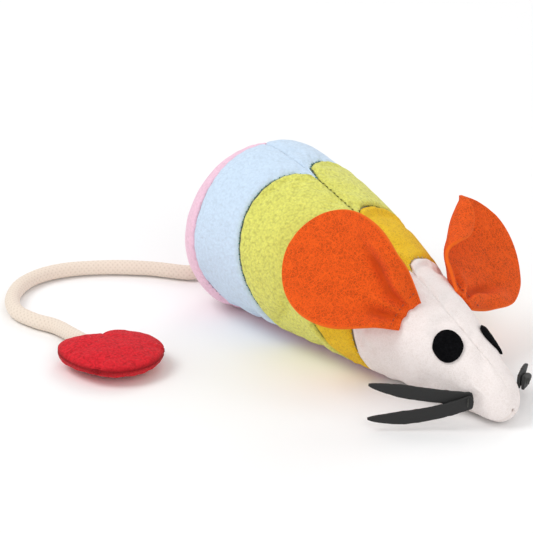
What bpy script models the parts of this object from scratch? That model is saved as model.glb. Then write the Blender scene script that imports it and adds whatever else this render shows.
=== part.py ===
"""Stuffed patchwork toy mouse: pieced fleece cover, felt ears and whiskers, rope tail with a padded heart.

Frame: metres, +X towards the nose, +Z up, +Y the mouse's left. The origin is on the surface that the
mouse lies on, under the middle of its body. Stations along the body are measured from its rear end.
"""
import math

import bmesh
import bpy
import numpy as np
from mathutils import Vector

# ---------------------------------------------------------------- driving dimensions (metres, degrees)
BODY_LENGTH = 0.170
BODY_RADIUS = 0.0350          # half the height and width at the fattest station
REAR_ROUND = 0.026            # length over which the rear end rounds off
REAR_ROUND_POWER = 2.6        # 2 is an ellipse, more is squarer
REAR_DROP = 0.006             # how far the middle of the rear end slumps
NOSE_TAPER = 0.79             # share of the radius that is gone at the nose
TAPER_POWER = 1.53            # above 1 the flanks bulge outwards
NOSE_ROUND = 0.008            # length of the rounded nose tip
NOSE_ROUND_POWER = 2.2
BELLY_SAG = 0.034             # share of the radius by which the round belly is pressed flat on the floor

FLEECE_THICKNESS = 0.0015
SEAM_GAP = FLEECE_THICKNESS / 3     # space between two pieces of the cover
POLE_HOLE = FLEECE_THICKNESS * 0.8   # radius of the gather left open at each end of the cover
STUFFING_CLEARANCE = 0.0010   # space between the cover and the stuffing
BELLY_HALF_ANGLE = 30.0       # the edge of the belly and chin panels, from straight down

# Each seam across the body: station at the top seam, station at the belly seam, depth of its arc.
BAND_SEAMS = {
    "pink_blue": (0.0225, 0.0275, 0.0055),
    "blue_green": (0.0550, 0.0640, 0.0145),
    "green_yellow": (0.0830, 0.0960, 0.0110),
    "yellow_head": (0.1120, 0.1080, 0.0070),
}
LEFT_ARC_EXTRA = 0.12         # the left flank's arcs are sewn deeper by this share
SEAM_ARC_SKEW = 0.7           # below 1 the arc's deepest point moves up towards the top seam
SEAM_ARC_POWER = 0.8          # below 1 the arc meets the top seam in a sharper cusp
LEFT_ARC_POWER = 0.55         # and sharper still on the left flank

FELT_THICKNESS = 0.0012
EYES = {"right": (-1, 0.1425, 37.5), "left": (1, 0.1440, 50.0)}   # side, station, angle down from the top seam
EYE_RADIUS = 0.0060
APPLIQUE_GAP = 0.0004         # space between the head and what is sewn on it

EAR_TAB_LENGTH = 0.0062       # gathered neck between the base and the round of the ear
EAR_THICKNESS = 0.0015
EAR_TIP_SHARE = 1.995         # the ear's length beyond its neck, in disc radii; 2 would end in a point
EAR_ROLL_START = 0.0015       # width over which the rolled edge begins
EAR_ROLL_FULL = 0.0080        # width of the rolled edge at which it curls fully
# Each ear. Its base sits at a station and an angle down from the top seam, lifted off the head so that it can lean
# both ways. Yaw, pitch and roll turn it. Cup is its curvature times the disc radius, at the base and at the tip,
# about a line that lies cup_middle off centre. Bend leans the tip over, in radians. Its inner edge rolls forward
# beyond roll_at, with a further curvature times the disc radius at the base and at the tip.
EARS = {
    "right": dict(side=-1, station=0.1233, angle=41.0, lift=0.0024, yaw=-140.7, pitch=30.5, roll=-5.8,
                  cup_base=1.12, cup_tip=0.03, cup_middle=0.0016, bend=-0.449,
                  roll_base=0.00, roll_tip=0.00, roll_at=0.0080, disc_radius=0.0228,
                  neck_half_width=0.0081),
    "left": dict(side=1, station=0.1236, angle=50.0, lift=0.0022, yaw=145.0, pitch=-2.1, roll=-48.6,
                  cup_base=0.36, cup_tip=0.09, cup_middle=-0.0012, bend=0.805,
                  roll_base=6.70, roll_tip=5.14, roll_at=0.0112, disc_radius=0.0247,
                  neck_half_width=0.0050),
}
EAR_STITCH_OFFSET = 0.0030    # from the base to the line of stitches

WHISKER_WIDTH = 0.0055
WHISKER_STATION = 0.1595
WHISKER_ANGLE = 82.0          # down from the top seam
WHISKER_ROOT_LIFT = 0.0014
WHISKER_LAYER_GAP = 0.0005    # between the two strips of one side
WHISKER_ROOT_ROUND = 0.0012   # length over which the root end of a strip reaches its full width
WHISKER_TIP_TAPER = 0.0130    # length over which its tip narrows
WHISKER_LEAST_WIDTH = 0.12    # share of the width left at both ends
# Each whisker: side, length, sweep back from straight out, rise, sag of its middle, and its layer counted from
# the head.
WHISKERS = {
    "right_upper_whisker": (-1, 0.0395, 38.0, 9.0, 0.0008, 0),
    "right_lower_whisker": (-1, 0.0400, 38.0, -10.0, 0.0022, 1),
    "left_upper_whisker": (1, 0.0245, 40.0, -9.0, 0.0, 0),
    "left_lower_whisker": (1, 0.0240, 40.0, -19.0, 0.0, 1),
}
WHISKER_STITCH_INSET = 0.0022

THREAD_RADIUS = 0.0004
THREAD_GAP = 0.0003

ROPE_RADIUS = 0.0030
ROPE_SIDES_RESOLUTION = 3
ROPE_SEGMENT = 0.0130         # distance between the rope's points, a little over two diameters
TAIL_EXIT_HEIGHT = 0.0095
TAIL_BURIED = 0.0050          # length of rope inside the cover
TAIL_SWING = 20.0
TAIL_HOLE_CLEARANCE = 0.0016  # wide enough for the rope to swing
ROPE_REST_HEIGHT = ROPE_RADIUS + 0.00005
# The rope's route on the floor, from behind the body to the heart.
TAIL_ROUTE = [
    (-0.0979, -0.0118), (-0.1107, -0.0213), (-0.1219, -0.0332), (-0.1302, -0.0470), (-0.1328, -0.0597),
    (-0.1297, -0.0718), (-0.1211, -0.0822), (-0.1102, -0.0876), (-0.0990, -0.0868), (-0.0884, -0.0836),
]

HEART_CENTRE = (-0.0560, -0.0857)
HEART_HEADING = 2.0           # direction in which the rope enters it, in the floor plane
HEART_RADIUS = 0.0192         # mean radius of its outline
# How the outline's radius swells and narrows round the heart: waves per turn, cosine share, sine share.
HEART_WAVES = [(1, 0.287, 0.0), (2, 0.015, 0.111), (3, 0.002, -0.034)]
HEART_NOTCH = 0.0022          # depth of the notch between the lobes, where the rope goes in
HEART_NOTCH_ANGLE = 22.0      # its half width, seen from the centre
HEART_SEAM_HEIGHT = 0.0066
HEART_UPPER_CROWN = 0.0040    # rise of the upper half from the seam
HEART_LOWER_CROWN = 0.0063
HEART_WALL = 0.0010
HEART_STUFFING_CLEARANCE = 0.0011
HEART_ROPE_DROP = 0.0012      # the rope's middle goes in this far below the seam
HEART_ROPE_INSIDE = 0.0070
HEART_MOUTH_CLEARANCE = 0.0008

MM = 0.001
TOP_ANGLE = 0.0
BOTTOM_ANGLE = 180.0


# ---------------------------------------------------------------- scene and materials
def clear_scene():
    for obj in list(bpy.data.objects):
        bpy.data.objects.remove(obj, do_unlink=True)


def new_collection(name):
    collection = bpy.data.collections.new(name)
    bpy.context.scene.collection.children.link(collection)
    return collection


def linear(channel):
    return channel / 12.92 if channel <= 0.04045 else ((channel + 0.055) / 1.055) ** 2.4


def cloth_material(name, hex_colour, roughness):
    """A dull, non-metallic textile of the given sRGB colour."""
    material = bpy.data.materials.new(name)
    material.use_nodes = True
    rgb = [linear(int(hex_colour[i:i + 2], 16) / 255) for i in (0, 2, 4)]
    shader = material.node_tree.nodes["Principled BSDF"]
    shader.inputs["Base Color"].default_value = (*rgb, 1.0)
    shader.inputs["Roughness"].default_value = roughness
    shader.inputs["Metallic"].default_value = 0.0
    material.diffuse_color = (*rgb, 1.0)
    return material


def make_materials():
    colours = {
        "pink_fleece": "F4CBDD", "blue_fleece": "D3E3F3", "green_fleece": "D8DB6C",
        "yellow_felt": "F9C22F", "white_felt": "F3ECE9", "orange_felt": "EE5A1C",
        "black_felt": "202023", "red_felt": "DD2D34", "cotton_rope": "EEDDD2",
        "polyester_stuffing": "F4F2EC", "dark_thread": "3A3A30", "orange_thread": "B84A1A",
    }
    return {name: cloth_material(name, colour, 0.92) for name, colour in colours.items()}


# ---------------------------------------------------------------- the body's surface
def taper_radius(x):
    """Radius of the body's cone at station x, before its ends are rounded."""
    share = np.clip((x - REAR_ROUND) / (BODY_LENGTH - REAR_ROUND), 0.0, 1.0)
    return BODY_RADIUS * (1.0 - NOSE_TAPER * share ** TAPER_POWER)


def body_radius(x):
    rear = np.clip((REAR_ROUND - x) / REAR_ROUND, 0.0, 1.0)
    nose = np.clip((x - BODY_LENGTH + NOSE_ROUND) / NOSE_ROUND, 0.0, 1.0)
    rear_share = (1.0 - rear ** REAR_ROUND_POWER) ** (1.0 / REAR_ROUND_POWER)
    nose_share = np.sqrt(np.clip(1.0 - nose ** NOSE_ROUND_POWER, 0.0, 1.0))
    return taper_radius(x) * rear_share * nose_share


def body_centre_height(x):
    slump = REAR_DROP * np.clip((REAR_ROUND - x) / REAR_ROUND, 0.0, 1.0)
    return taper_radius(x) * (1.0 - BELLY_SAG) - slump


def meridian_table():
    """Stations, radii and arc lengths from the rear end to the nose, close together at both ends."""
    turn = np.linspace(0.0, math.pi, 1201)
    stations = BODY_LENGTH * (1.0 - np.cos(turn)) / 2.0
    radii = body_radius(stations)
    steps = np.hypot(np.diff(stations), np.diff(radii))
    return stations, radii, np.concatenate([[0.0], np.cumsum(steps)])


STATIONS, RADII, ARC_LENGTHS = meridian_table()


def arc_of_station(x):
    return float(np.interp(x, STATIONS, ARC_LENGTHS))


def arc_of_radius(radius, at_nose):
    """Arc length at which the cover's end opening has this radius."""
    middle = int(np.argmax(RADII))
    if at_nose:
        return float(np.interp(-radius, -RADII[middle:], ARC_LENGTHS[middle:]))
    return float(np.interp(radius, RADII[:middle], ARC_LENGTHS[:middle]))


def meridian_point(arc, lift):
    """Station and radius at an arc length, moved by lift along the outward normal."""
    step = 0.2 * MM
    low = max(arc - step, 0.0)
    high = min(arc + step, ARC_LENGTHS[-1])
    x = np.interp([low, arc, high], ARC_LENGTHS, STATIONS)
    r = np.interp([low, arc, high], ARC_LENGTHS, RADII)
    dx, dr = x[2] - x[0], r[2] - r[0]
    length = math.hypot(dx, dr)
    return x[1] - lift * dr / length, max(r[1] + lift * dx / length, 0.0)


def surface_point(arc, angle, side, lift=0.0):
    """World point on the body: angle in degrees down from the top, side -1 for the right flank."""
    x, radius = meridian_point(arc, lift)
    turn = math.radians(angle)
    y = side * radius * math.sin(turn)
    z = float(body_centre_height(x)) + radius * math.cos(turn)
    return Vector((x - BODY_LENGTH / 2, y, max(z, -min(lift, 0.0))))


def surface_frame(station, angle, side):
    """Point on the body with its outward normal, its forward tangent and its upward-round tangent."""
    arc = arc_of_station(station)
    point = surface_point(arc, angle, side)
    step = 0.5 * MM
    forward = (surface_point(arc + step, angle, side) - surface_point(arc - step, angle, side)).normalized()
    half_turn = 1.0
    upward = (surface_point(arc, angle - half_turn, side) - surface_point(arc, angle + half_turn, side))
    upward.normalize()
    normal = forward.cross(upward)
    if normal.dot(point - Vector((point.x, 0.0, float(body_centre_height(station))))) < 0:
        normal.negate()
    return point, normal.normalized(), forward, upward


# ---------------------------------------------------------------- modelling helpers
def add_object(name, mesh, material, collection, origin=(0.0, 0.0, 0.0)):
    obj = bpy.data.objects.new(name, mesh)
    obj.location = origin
    mesh.materials.append(material)
    collection.objects.link(obj)
    return obj


def mapped_sheet(name, columns, rows, mapping, outward, thickness, material, collection, origin=(0, 0, 0)):
    """A grid whose corners u, v in 0..1 are laid in space by mapping, then given a thickness.

    The sheet grows away from the side that outward(centre) points to.
    """
    mesh = bpy.data.meshes.new(name)
    grid = bmesh.new()
    bmesh.ops.create_grid(grid, x_segments=columns, y_segments=rows, size=0.5)
    for vertex in grid.verts:
        u, v = vertex.co.x + 0.5, vertex.co.y + 0.5
        vertex.co = mapping(u, v) - Vector(origin)
    grid.normal_update()
    facing = sum(face.normal.dot(outward(face.calc_center_median() + Vector(origin))) for face in grid.faces)
    if facing < 0:
        bmesh.ops.reverse_faces(grid, faces=grid.faces)
    grid.to_mesh(mesh)
    grid.free()
    mesh.shade_smooth()
    obj = add_object(name, mesh, material, collection, origin)
    solidify = obj.modifiers.new("Thickness", "SOLIDIFY")
    solidify.thickness = thickness
    solidify.offset = -1.0
    return obj


def from_body_axis(point):
    """Direction away from the body's centre line."""
    station = min(max(point.x + BODY_LENGTH / 2, 0.0), BODY_LENGTH)
    middle = min(max(point.x, REAR_ROUND - BODY_LENGTH / 2), BODY_LENGTH / 2 - NOSE_ROUND)
    return point - Vector((middle, 0.0, float(body_centre_height(station))))


def mapped_ball(name, segments, rings, mapping, material, collection):
    """A closed ball whose unit-sphere points are laid in space by mapping."""
    mesh = bpy.data.meshes.new(name)
    ball = bmesh.new()
    bmesh.ops.create_uvsphere(ball, u_segments=segments, v_segments=rings, radius=1.0)
    for vertex in ball.verts:
        vertex.co = mapping(vertex.co.copy())
    bmesh.ops.recalc_face_normals(ball, faces=ball.faces)
    ball.to_mesh(mesh)
    ball.free()
    mesh.shade_smooth()
    return add_object(name, mesh, material, collection)


def tube(name, points, radius, resolution, material, collection, origin=(0, 0, 0)):
    """A tube through the points, with closed ends."""
    curve = bpy.data.curves.new(name, "CURVE")
    curve.dimensions = "3D"
    curve.bevel_depth = radius
    curve.bevel_resolution = resolution
    curve.use_fill_caps = True
    spline = curve.splines.new("POLY")
    spline.points.add(len(points) - 1)
    for target, point in zip(spline.points, points):
        target.co = (*(Vector(point) - Vector(origin)), 1.0)
    curve.materials.append(material)
    obj = bpy.data.objects.new(name, curve)
    obj.location = origin
    collection.objects.link(obj)
    return obj


def round_cutter(name, start, end, radius, collection):
    """A closed cylinder from start to end, for cutting a hole."""
    axis = Vector(end) - Vector(start)
    mesh = bpy.data.meshes.new(name)
    solid = bmesh.new()
    bmesh.ops.create_cone(
        solid, cap_ends=True, segments=16, radius1=radius, radius2=radius, depth=axis.length)
    solid.to_mesh(mesh)
    solid.free()
    obj = bpy.data.objects.new(name, mesh)
    obj.location = (Vector(start) + Vector(end)) / 2
    obj.rotation_euler = axis.to_track_quat("Z", "Y").to_euler()
    obj.hide_render = True
    obj.display_type = "WIRE"
    collection.objects.link(obj)
    return obj


def cut(obj, cutter):
    boolean = obj.modifiers.new("Hole", "BOOLEAN")
    boolean.operation = "DIFFERENCE"
    boolean.object = cutter


def smooth_route(points, spacing):
    """Evenly spaced points on a Catmull-Rom curve through the route's points."""
    knots = np.array([tuple(p) for p in points])
    padded = np.vstack([2 * knots[0] - knots[1], knots, 2 * knots[-1] - knots[-2]])
    samples_per_span = 24
    dense = []
    for i in range(1, len(padded) - 2):
        a, b, c, d = padded[i - 1:i + 3]
        for t in np.arange(samples_per_span) / samples_per_span:
            dense.append(0.5 * (2 * b + (c - a) * t + (2 * a - 5 * b + 4 * c - d) * t * t
                                + (3 * b - a - 3 * c + d) * t ** 3))
    dense.append(knots[-1])
    dense = np.array(dense)
    along = np.concatenate([[0.0], np.cumsum(np.linalg.norm(np.diff(dense, axis=0), axis=1))])
    wanted = np.linspace(0.0, along[-1], max(int(round(along[-1] / spacing)), 2) + 1)
    return [Vector([np.interp(w, along, dense[:, k]) for k in range(3)]) for w in wanted]


# ---------------------------------------------------------------- cover and stuffing
def seam_station(seam, v, side):
    """Station of a seam across the body, v from 0 at the top seam to 1 at the belly seam."""
    top, bottom, depth = BAND_SEAMS[seam]
    if side > 0:
        depth *= 1.0 + LEFT_ARC_EXTRA
    power = SEAM_ARC_POWER if side < 0 else LEFT_ARC_POWER
    return top + (bottom - top) * v - depth * max(math.sin(math.pi * v ** SEAM_ARC_SKEW), 0.0) ** power


def cover_patch(name, side, rear_seam, front_seam, rows, material, collection):
    """One flank piece of the cover, between two seams across the body (None is an end of the body)."""
    rear_end = arc_of_radius(POLE_HOLE, at_nose=False)
    nose_end = arc_of_radius(POLE_HOLE, at_nose=True)
    half_gap = SEAM_GAP / 2

    def place(u, v):
        v_clamped = min(max(v, 0.0), 1.0)
        start = rear_end if rear_seam is None else arc_of_station(seam_station(rear_seam, v_clamped, side)) + half_gap
        end = nose_end if front_seam is None else arc_of_station(seam_station(front_seam, v_clamped, side)) - half_gap
        arc = start + (end - start) * u
        _, radius = meridian_point(arc, 0.0)
        gap_angle = math.degrees(half_gap / radius)
        low = TOP_ANGLE + gap_angle
        high = BOTTOM_ANGLE - BELLY_HALF_ANGLE - gap_angle
        return surface_point(arc, low + (high - low) * v, side)

    columns = 12
    return mapped_sheet(name, rows, columns, place, from_body_axis, FLEECE_THICKNESS, material, collection)


def under_panel(name, start, end, rows, material, collection):
    """A gusset under the body between two arc lengths, as wide as the flanks leave open."""
    def place(u, v):
        arc = start + (end - start) * u
        _, radius = meridian_point(arc, 0.0)
        half = BELLY_HALF_ANGLE - math.degrees(SEAM_GAP / 2 / radius)
        return surface_point(arc, BOTTOM_ANGLE + half * (2 * v - 1), 1)

    return mapped_sheet(name, rows, 6, place, from_body_axis, FLEECE_THICKNESS, material, collection)


def under_panels(materials, collection, cutters):
    """The belly panel from the gather at the rear end to the head, and the chin panel from there to the nose."""
    chin_seam = arc_of_station(BAND_SEAMS["yellow_head"][1])
    belly = under_panel("belly_panel", arc_of_radius(POLE_HOLE, at_nose=False), chin_seam - SEAM_GAP / 2, 20,
                        materials["pink_fleece"], collection)
    under_panel("chin_panel", chin_seam + SEAM_GAP / 2, arc_of_radius(POLE_HOLE, at_nose=True), 10,
                materials["white_felt"], collection)
    inside, outside = rope_points()[:2]
    hole = round_cutter("tail_hole_cutter", inside, outside, ROPE_RADIUS + TAIL_HOLE_CLEARANCE, cutters)
    cut(belly, hole)


def tail_exit():
    """Point at the back of the belly panel where the rope comes out, on the cover's outer face."""
    low, high = 0.0, REAR_ROUND
    for _ in range(40):
        middle = (low + high) / 2
        point = surface_point(arc_of_station(middle), BOTTOM_ANGLE, 1)
        if point.z > TAIL_EXIT_HEIGHT:
            low = middle
        else:
            high = middle
    return surface_point(arc_of_station(low), BOTTOM_ANGLE, 1)


def body_stuffing(materials, collection, cutters):
    inset = FLEECE_THICKNESS + STUFFING_CLEARANCE

    def place(unit):
        share = math.acos(min(max(unit.x, -1.0), 1.0)) / math.pi
        arc = ARC_LENGTHS[-1] * (1.0 - share)
        x, radius = meridian_point(arc, -inset)
        ring = math.hypot(unit.y, unit.z)
        side, up = (unit.y / ring, unit.z / ring) if ring > 1e-6 else (0.0, 0.0)
        z = float(body_centre_height(x)) + radius * up
        return Vector((x - BODY_LENGTH / 2, radius * side, max(z, inset)))

    def turned(unit):
        return place(Vector((unit.z, unit.x, unit.y)))

    obj = mapped_ball("body_stuffing", 24, 22, turned, materials["polyester_stuffing"], collection)
    inside, outside = rope_points()[:2]
    margin = (inside - outside).normalized() * TAIL_HOLE_CLEARANCE
    swing_room = (TAIL_BURIED + ROPE_RADIUS) * math.sin(math.radians(TAIL_SWING))
    pocket = round_cutter("tail_pocket_cutter", inside + margin, outside,
                          ROPE_RADIUS + swing_room + TAIL_HOLE_CLEARANCE, cutters)
    cut(obj, pocket)
    return obj


def cover(materials, collection, cutters):
    bands = [
        ("pink_patch", None, "pink_blue", 8, "pink_fleece"),
        ("blue_patch", "pink_blue", "blue_green", 4, "blue_fleece"),
        ("green_patch", "blue_green", "green_yellow", 4, "green_fleece"),
        ("yellow_patch", "green_yellow", "yellow_head", 4, "yellow_felt"),
        ("head_patch", "yellow_head", None, 10, "white_felt"),
    ]
    for side_name, side in (("right", -1), ("left", 1)):
        for band, rear, front, rows, cloth in bands:
            cover_patch(f"{side_name}_{band}", side, rear, front, rows, materials[cloth], collection)
    under_panels(materials, collection, cutters)
    body_stuffing(materials, collection, cutters)


# ---------------------------------------------------------------- eyes
def eye(side_name, material, collection):
    """A round of felt that follows the curve of the head."""
    side, station, middle_angle = EYES[side_name]
    arc = arc_of_station(station)
    _, head_radius = meridian_point(arc, 0.0)
    lift = APPLIQUE_GAP + FELT_THICKNESS

    def place(u, v):
        across, along = disc_point(u, v)
        angle = middle_angle + math.degrees(across * EYE_RADIUS / head_radius)
        return surface_point(arc + along * EYE_RADIUS, angle, side, lift)

    return mapped_sheet(f"{side_name}_eye", 6, 6, place, from_body_axis, FELT_THICKNESS, material, collection)


def disc_point(u, v):
    """Maps the unit square onto the unit disc."""
    a, b = 2 * u - 1, 2 * v - 1
    return a * math.sqrt(1 - b * b / 2), b * math.sqrt(1 - a * a / 2)


# ---------------------------------------------------------------- ears
def ear_frame(side_name):
    """Base point, lengthways direction, base-line direction and hollow side's normal of an ear."""
    spec = EARS[side_name]
    point, normal, _, _ = surface_frame(spec["station"], spec["angle"], spec["side"])
    yaw, pitch, roll = (math.radians(spec[key]) for key in ("yaw", "pitch", "roll"))
    lengthways = Vector((math.cos(pitch) * math.cos(yaw), math.cos(pitch) * math.sin(yaw), math.sin(pitch)))
    ahead = Vector((1.0, 0.0, 0.0))
    ahead = (ahead - lengthways * ahead.dot(lengthways)).normalized()
    face = ahead * math.cos(roll) + lengthways.cross(ahead) * math.sin(roll)
    return point + normal * spec["lift"], lengthways, face.cross(lengthways), face


def ear_length(side_name):
    return EAR_TAB_LENGTH + 2 * EARS[side_name]["disc_radius"]


def ear_half_width(side_name, length):
    """Half width of the ear's outline at a length from its base: a neck whose straight sides run onto the disc."""
    radius = EARS[side_name]["disc_radius"]
    neck = EARS[side_name]["neck_half_width"]
    centre = EAR_TAB_LENGTH + radius
    corner_angle = math.pi - math.atan2(neck, centre) - math.acos(radius / math.hypot(centre, neck))
    corner = centre + radius * math.cos(corner_angle)
    if length < corner:
        return neck + (radius * math.sin(corner_angle) - neck) * length / corner
    return math.sqrt(max(radius ** 2 - (length - centre) ** 2, 0.0))


def ear_section(side_name, length):
    """The ear's curled section at a length: distances across the flat felt, and where they lie sideways and forwards."""
    spec = EARS[side_name]
    radius = spec["disc_radius"]
    share = length / ear_length(side_name)
    half = ear_half_width(side_name, length)
    flat = np.linspace(-half, half, 61)
    cup = spec["cup_base"] + (spec["cup_tip"] - spec["cup_base"]) * share
    roll = spec["roll_base"] + (spec["roll_tip"] - spec["roll_base"]) * share
    roll *= min(max((half - spec["roll_at"]) / EAR_ROLL_FULL, 0.0), 1.0)
    curvature = (cup + roll / (1.0 + np.exp(-(flat - spec["roll_at"]) / EAR_ROLL_START))) / radius
    step = np.diff(flat)
    turn = np.concatenate([[0.0], np.cumsum((curvature[1:] + curvature[:-1]) / 2 * step)])
    turn -= np.interp(spec["cup_middle"] * min(half / radius, 1.0), flat, turn)
    between = (turn[1:] + turn[:-1]) / 2
    sideways = np.concatenate([[0.0], np.cumsum(np.cos(between) * step)])
    forwards = np.concatenate([[0.0], np.cumsum(np.sin(between) * step)])
    return flat, sideways - np.interp(0.0, flat, sideways), forwards - np.interp(0.0, flat, forwards)


def ear_point(side_name, length, share):
    """Point of the ear's hollow face, share from -1 to 1 across it."""
    base, lengthways, across, face = ear_frame(side_name)
    flat, sideways, forwards = ear_section(side_name, length)
    reach = share * flat[-1]
    total = ear_length(side_name)
    bend = EARS[side_name]["bend"]
    lean = bend * length / total
    spine = lengthways * (total / bend * math.sin(lean)) + face * (total / bend * (1 - math.cos(lean)))
    hollow = face * math.cos(lean) - lengthways * math.sin(lean)
    return (base + spine + across * float(np.interp(reach, flat, sideways))
            + hollow * float(np.interp(reach, flat, forwards)))


def ear(side_name, materials, collection):
    base, _, _, face = ear_frame(side_name)
    tip = EAR_TAB_LENGTH + EARS[side_name]["disc_radius"] * EAR_TIP_SHARE

    def place(u, v):
        length = tip * math.sin(u * math.pi / 2) ** 1.25
        return ear_point(side_name, length, 2 * v - 1)

    mapped_sheet(f"{side_name}_ear", 16, 14, place, lambda _: face, EAR_THICKNESS,
                 materials["orange_felt"], collection, origin=base)
    lift = face * (THREAD_RADIUS + THREAD_GAP)
    ends = 0.9
    steps = 6
    line = [ear_point(side_name, EAR_STITCH_OFFSET, ends * (2 * i / steps - 1)) + lift for i in range(steps + 1)]
    tube(f"{side_name}_ear_stitch", line, THREAD_RADIUS, 1, materials["orange_thread"], collection, origin=base)


# ---------------------------------------------------------------- whiskers
def whisker_frame(side, sweep):
    """Root point on the cheek, outward heading, upward direction and forward face normal."""
    point, normal, _, _ = surface_frame(WHISKER_STATION, WHISKER_ANGLE, side)
    turn = math.radians(sweep)
    heading = Vector((-math.sin(turn), side * math.cos(turn), 0.0))
    face = Vector((math.cos(turn), side * math.sin(turn), 0.0))
    return point + normal * WHISKER_ROOT_LIFT, heading, Vector((0.0, 0.0, 1.0)), face


def whisker_layer(layer):
    return layer * (FELT_THICKNESS + WHISKER_LAYER_GAP)


def whisker_half_width(length, whole_length):
    """Half width of a strip: a blunt root, straight sides and a tapered tip."""
    root = 1 - max(1 - length / WHISKER_ROOT_ROUND, 0.0) ** 2
    tip = math.sqrt(min((whole_length - length) / WHISKER_TIP_TAPER, 1.0))
    return WHISKER_WIDTH / 2 * max(min(root, tip), WHISKER_LEAST_WIDTH)


def whisker(name, material, collection):
    side, whole_length, sweep, rise, sag, layer = WHISKERS[name]
    root, heading, upward, face = whisker_frame(side, sweep)
    root = root + face * whisker_layer(layer)
    turn = math.radians(rise)
    along = heading * math.cos(turn) + upward * math.sin(turn)
    across = upward * math.cos(turn) - heading * math.sin(turn)

    def place(u, v):
        length = whole_length * (1 - math.cos(u * math.pi)) / 2
        arch = sag * 4 * (length / whole_length) * (1 - length / whole_length)
        return root + along * length + across * (whisker_half_width(length, whole_length) * (2 * v - 1) - arch)

    mapped_sheet(name, 10, 2, place, lambda _: face, FELT_THICKNESS, material, collection, origin=root)


def whisker_stitch(side_name, side, sweep, material, collection):
    """A bar of thread over both strips, at their root."""
    root, heading, upward, face = whisker_frame(side, sweep)
    front = whisker_layer(1) + THREAD_RADIUS + THREAD_GAP
    middle = root + heading * WHISKER_STITCH_INSET + face * front
    reach = WHISKER_WIDTH * 0.6
    bar = [middle - upward * reach, middle, middle + upward * reach]
    tube(f"{side_name}_whisker_stitch", bar, THREAD_RADIUS, 1, material, collection)


# ---------------------------------------------------------------- tail and heart
def heart_frame():
    turn = math.radians(HEART_HEADING)
    along = Vector((math.cos(turn), math.sin(turn), 0.0))
    across = Vector((-math.sin(turn), math.cos(turn), 0.0))
    return Vector((*HEART_CENTRE, 0.0)), along, across


def heart_radius(turn):
    """Radius of the outline at an angle in radians from the direction that the rope enters in."""
    swell = sum(c * math.cos(n * turn) + d * math.sin(n * turn) for n, c, d in HEART_WAVES)
    off_notch = math.pi - abs(math.remainder(turn, 2 * math.pi))
    notch = HEART_NOTCH * math.exp(-(off_notch / math.radians(HEART_NOTCH_ANGLE)) ** 2)
    return HEART_RADIUS * (1.0 + swell) - notch


def heart_point(along_share, across_share, height, inset):
    """Point inside the heart for a point of the unit disc, inset from the outline."""
    centre, along, across = heart_frame()
    share = math.hypot(along_share, across_share)
    turn = math.atan2(across_share, along_share)
    reach = (heart_radius(turn) - inset) * share
    return (centre + along * (reach * math.cos(turn)) + across * (reach * math.sin(turn))
            + Vector((0.0, 0.0, height)))


def heart_half(name, crown, direction, material, collection):
    """One half of the heart's cover: direction 1 is the upper half, -1 the lower."""
    rim = HEART_WALL + SEAM_GAP / 2

    def place(u, v):
        along_share, across_share = disc_point(u, v)
        edge = max(1.0 - along_share ** 2 - across_share ** 2, 0.0)
        height = HEART_SEAM_HEIGHT + direction * (rim + (crown - rim) * math.sqrt(edge))
        return heart_point(along_share, across_share, height, 0.0)

    def outward(point):
        centre, _, _ = heart_frame()
        return point - Vector((centre.x, centre.y, HEART_SEAM_HEIGHT))

    return mapped_sheet(name, 12, 12, place, outward, HEART_WALL, material, collection)


def heart_stuffing(material, collection):
    inset = HEART_WALL + HEART_STUFFING_CLEARANCE

    def place(unit):
        crown = (HEART_UPPER_CROWN if unit.z > 0 else HEART_LOWER_CROWN) - inset
        height = HEART_SEAM_HEIGHT + crown * unit.z
        return heart_point(unit.x, unit.y, height, inset)

    return mapped_ball("heart_stuffing", 24, 12, place, material, collection)


def rope_end():
    """Where the rope ends inside the heart, where it goes in, and the direction it enters in."""
    centre, along, _ = heart_frame()
    mouth = centre - along * heart_radius(math.pi)
    mouth.z = HEART_SEAM_HEIGHT - HEART_ROPE_DROP
    return mouth + along * HEART_ROPE_INSIDE, mouth, along


def rope_points():
    """Points of the rope from its buried end, over the floor, into the heart."""
    exit_point = tail_exit()
    end, mouth, along = rope_end()
    step_out = Vector((-1.0, 0.0, 0.0))
    route = [exit_point - step_out * TAIL_BURIED, exit_point + step_out * 0.002]
    dip = exit_point + step_out * 0.009 + Vector((0.0, -0.003, 0.0))
    dip.z = (exit_point.z + ROPE_REST_HEIGHT) / 2 - MM
    route.append(dip)
    route += [Vector((x, y, ROPE_REST_HEIGHT)) for x, y in TAIL_ROUTE]
    rise = mouth.lerp(route[-1], 0.4)
    route += [rise, mouth, end]
    points = smooth_route(route, ROPE_SEGMENT)
    for point in points:
        point.z = max(point.z, ROPE_REST_HEIGHT)
    return points


def tail(materials, collection, cutters):
    end, mouth, along = rope_end()
    tube("tail_cord", rope_points(), ROPE_RADIUS, ROPE_SIDES_RESOLUTION,
         materials["cotton_rope"], collection, origin=tail_exit())
    mouth_cutter = round_cutter("heart_mouth_cutter", mouth - along * 0.012, end + along * MM,
                                ROPE_RADIUS + HEART_MOUTH_CLEARANCE, cutters)
    red = materials["red_felt"]
    for piece in (heart_half("heart_upper", HEART_UPPER_CROWN, 1, red, collection),
                  heart_half("heart_lower", HEART_LOWER_CROWN, -1, red, collection),
                  heart_stuffing(materials["polyester_stuffing"], collection)):
        cut(piece, mouth_cutter)


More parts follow.
